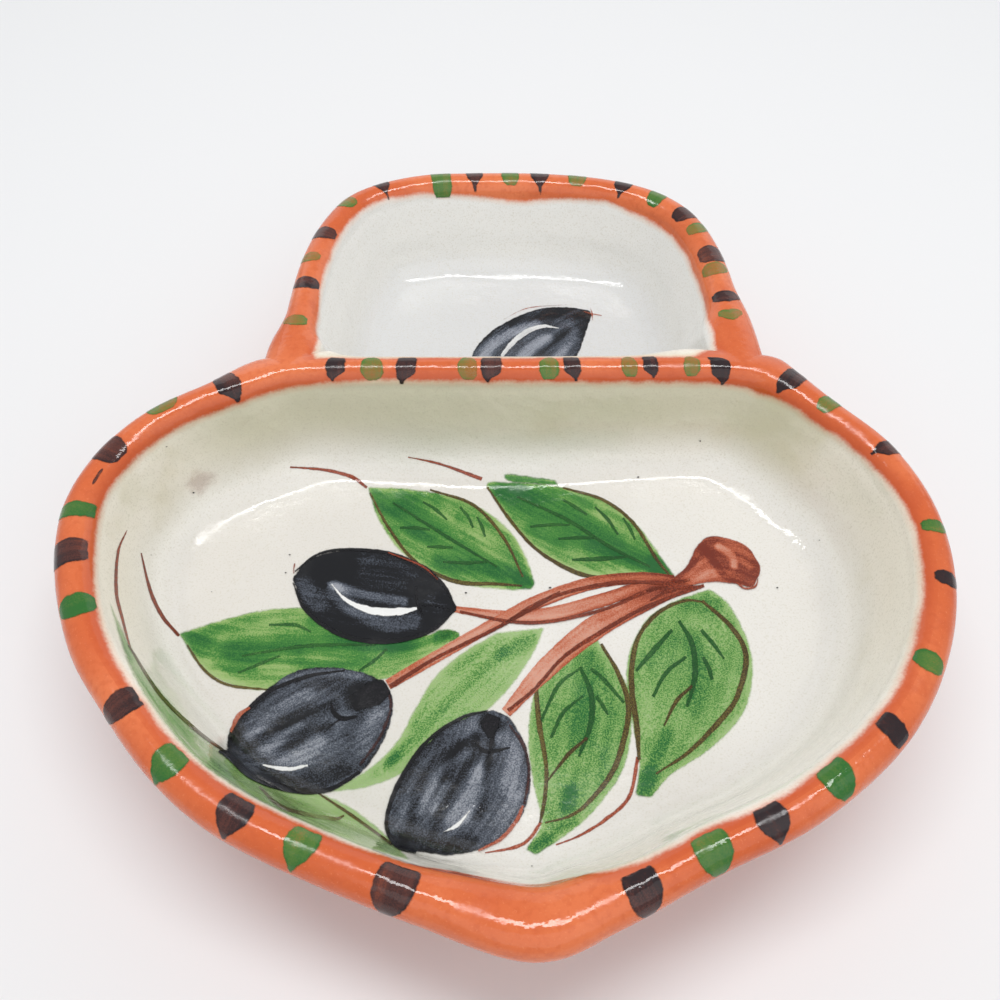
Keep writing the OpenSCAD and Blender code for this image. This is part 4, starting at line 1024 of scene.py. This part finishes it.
dabs("rim_dabs_dark_paint", dab_dark, "rim_dabs_dark", {
    "bowl": [
        (0.046, 6.0, -4.5, 5.2, "drip in", 0.75), (0.16, 7.4, -5.0, 3.2, "round", 0.5),
        (0.183, 5.0, 1.3, 2.0, "round", 0.3), (0.243, 6.4, -6.0, 3.6, "block", 0.65),
        (0.34, 6.2, -5.5, 2.8, "taper", 0.8), (0.42, 6.8, -5.2, 3.0, "drip out", 0.6),
        (0.487, 7.8, -6.2, 3.2, "taper", 0.75), (0.595, 6.8, -6.0, 2.2, "taper", 0.9),
        (0.65, 6.2, -5.2, 2.2, "drip out", 0.85), (0.71, 5.0, -4.0, 2.2, "block", 0.9),
        (0.79, 3.6, -4.5, 1.4, "round", 0.8), (0.875, 4.4, -4.5, 3.2, "drip in", 0.8),
        (0.957, 5.4, -4.5, 4.6, "drip in", 0.8),
    ],
    "divider": [
        (0.066, 5.0, -1.7, 5.8, "drip in", 0.9), (0.21, 4.0, -1.7, 4.4, "drip in", 0.9),
        (0.334, 4.6, -1.7, 4.8, "drip in", 0.9), (0.479, 5.4, -1.7, 5.0, "drip in", 0.85),
        (0.639, 5.4, -1.7, 5.4, "drip in", 0.9), (0.825, 5.0, -1.7, 4.6, "drip in", 0.85),
    ],
    "cup": [
        (0.072, 4.4, -4.5, 3.4, "round", 0.75), (0.139, 7.0, -4.5, 3.6, "round", 0.5),
        (0.222, 6.0, -4.5, 3.4, "round", 0.7), (0.344, 5.6, -3.0, 4.6, "point in", 0.75),
        (0.452, 6.0, -4.5, 5.6, "point in", 0.85), (0.531, 5.4, -4.5, 5.2, "point in", 0.8),
        (0.653, 4.6, -4.5, 4.4, "point in", 0.75), (0.784, 5.4, -4.5, 3.2, "round", 0.7),
        (0.864, 4.6, -4.0, 3.6, "round", 0.75),
    ],
})
dabs("rim_dabs_green_paint", dab_green, "rim_dabs_green", {
    "bowl": [
        (0.103, 7.6, -4.5, 0.8, "round", 0.3), (0.213, 4.6, -6.0, 4.4, "taper", 0.7),
        (0.274, 6.0, -4.0, 3.8, "round", 0.85), (0.38, 6.6, -5.5, 2.8, "drip out", 0.65),
        (0.452, 6.4, -5.2, 3.0, "drip out", 0.7), (0.624, 7.0, -5.6, 2.2, "taper", 0.55),
        (0.678, 7.0, -4.4, 2.6, "taper", 0.85), (0.745, 4.8, -3.6, 2.6, "round", 0.7),
        (0.82, 3.6, -3.6, 2.2, "round", 0.7), (0.924, 4.8, -4.5, 2.6, "round", 0.45),
    ],
    "divider": [
        (0.125, 4.6, -1.7, 3.8, "round", 0.1), (0.247, 4.6, -1.7, 4.0, "round", 0.15),
        (0.374, 5.0, -1.7, 4.4, "round", 0.25), (0.529, 5.2, -1.7, 4.4, "round", 0.2),
        (0.7145, 6.0, -1.7, 4.6, "round", 0.35),
    ],
    "cup": [
        (0.045, 4.2, -3.5, 3.0, "round", 0.15), (0.115, 5.2, -3.0, 4.2, "round", 0.25),
        (0.19, 4.8, -3.5, 3.0, "round", 0.3), (0.28, 5.6, -4.0, 3.6, "round", 0.6),
        (0.405, 5.6, -4.0, 2.6, "round", 0.15), (0.487, 5.6, -4.0, 3.2, "round", 0.3),
        (0.568, 6.4, -4.5, 6.2, "block", 0.45), (0.72, 5.2, -4.5, 2.0, "round", 0.1),
        (0.825, 4.2, -4.5, 1.8, "round", 0.1), (0.93, 4.2, -4.0, 2.4, "round", 0.15),
    ],
})

# Stage, camera and lights
floor_half = 3.0
floor_mesh = bpy.data.meshes.new("floor")
floor_mesh.from_pydata([(x * floor_half, y * floor_half, 0) for x, y in ((-1, -1), (1, -1), (1, 1), (-1, 1))], [],
                       [(0, 1, 2, 3)])
floor_mesh.materials.append(Graph("pale_floor").finish((0.82, 0.82, 0.82, 1), 0.6))
add_object("floor", floor_mesh)

sensor = 36
camera_data = bpy.data.cameras.new("camera")
camera_data.sensor_width = sensor
camera_data.lens = sensor * cam_focal / cam_frame
camera_data.clip_start = 0.01
camera = add_object("camera", camera_data)
camera.location = (0, cam_y * MM, cam_z * MM)
camera.rotation_euler = (math.pi / 2 - cam_tilt, 0, 0)
bpy.context.scene.camera = camera

aim = Vector((0, 0, 0.02))
for name, place, size, power in (
    ("overhead_softbox", (0.0, 0.1, 0.9), (0.9, 0.12), 4.2),
    ("front_fill", (0.3, -0.8, 1.0), (2.0, 1.2), 4.6),
    ("back_fill", (0.2, 1.5, 0.6), (3.0, 1.0), 5.0),
):
    light = bpy.data.lights.new(name, "AREA")
    light.shape = "RECTANGLE"
    light.size, light.size_y = size
    light.energy = power
    lamp = add_object(name, light)
    lamp.location = place
    lamp.rotation_euler = (aim - Vector(place)).to_track_quat("-Z", "Y").to_euler()

world = bpy.data.worlds.new("studio")
bpy.context.scene.world = world
world.use_nodes = True
tree = world.node_tree
tree.nodes.clear()
out = tree.nodes.new("ShaderNodeOutputWorld")
soft = tree.nodes.new("ShaderNodeBackground")
soft.inputs["Color"].default_value = (0.95, 0.97, 1.0, 1)
soft.inputs["Strength"].default_value = 0.52
tree.links.new(soft.outputs[0], out.inputs["Surface"])

bpy.context.scene.view_settings.view_transform = "Standard"
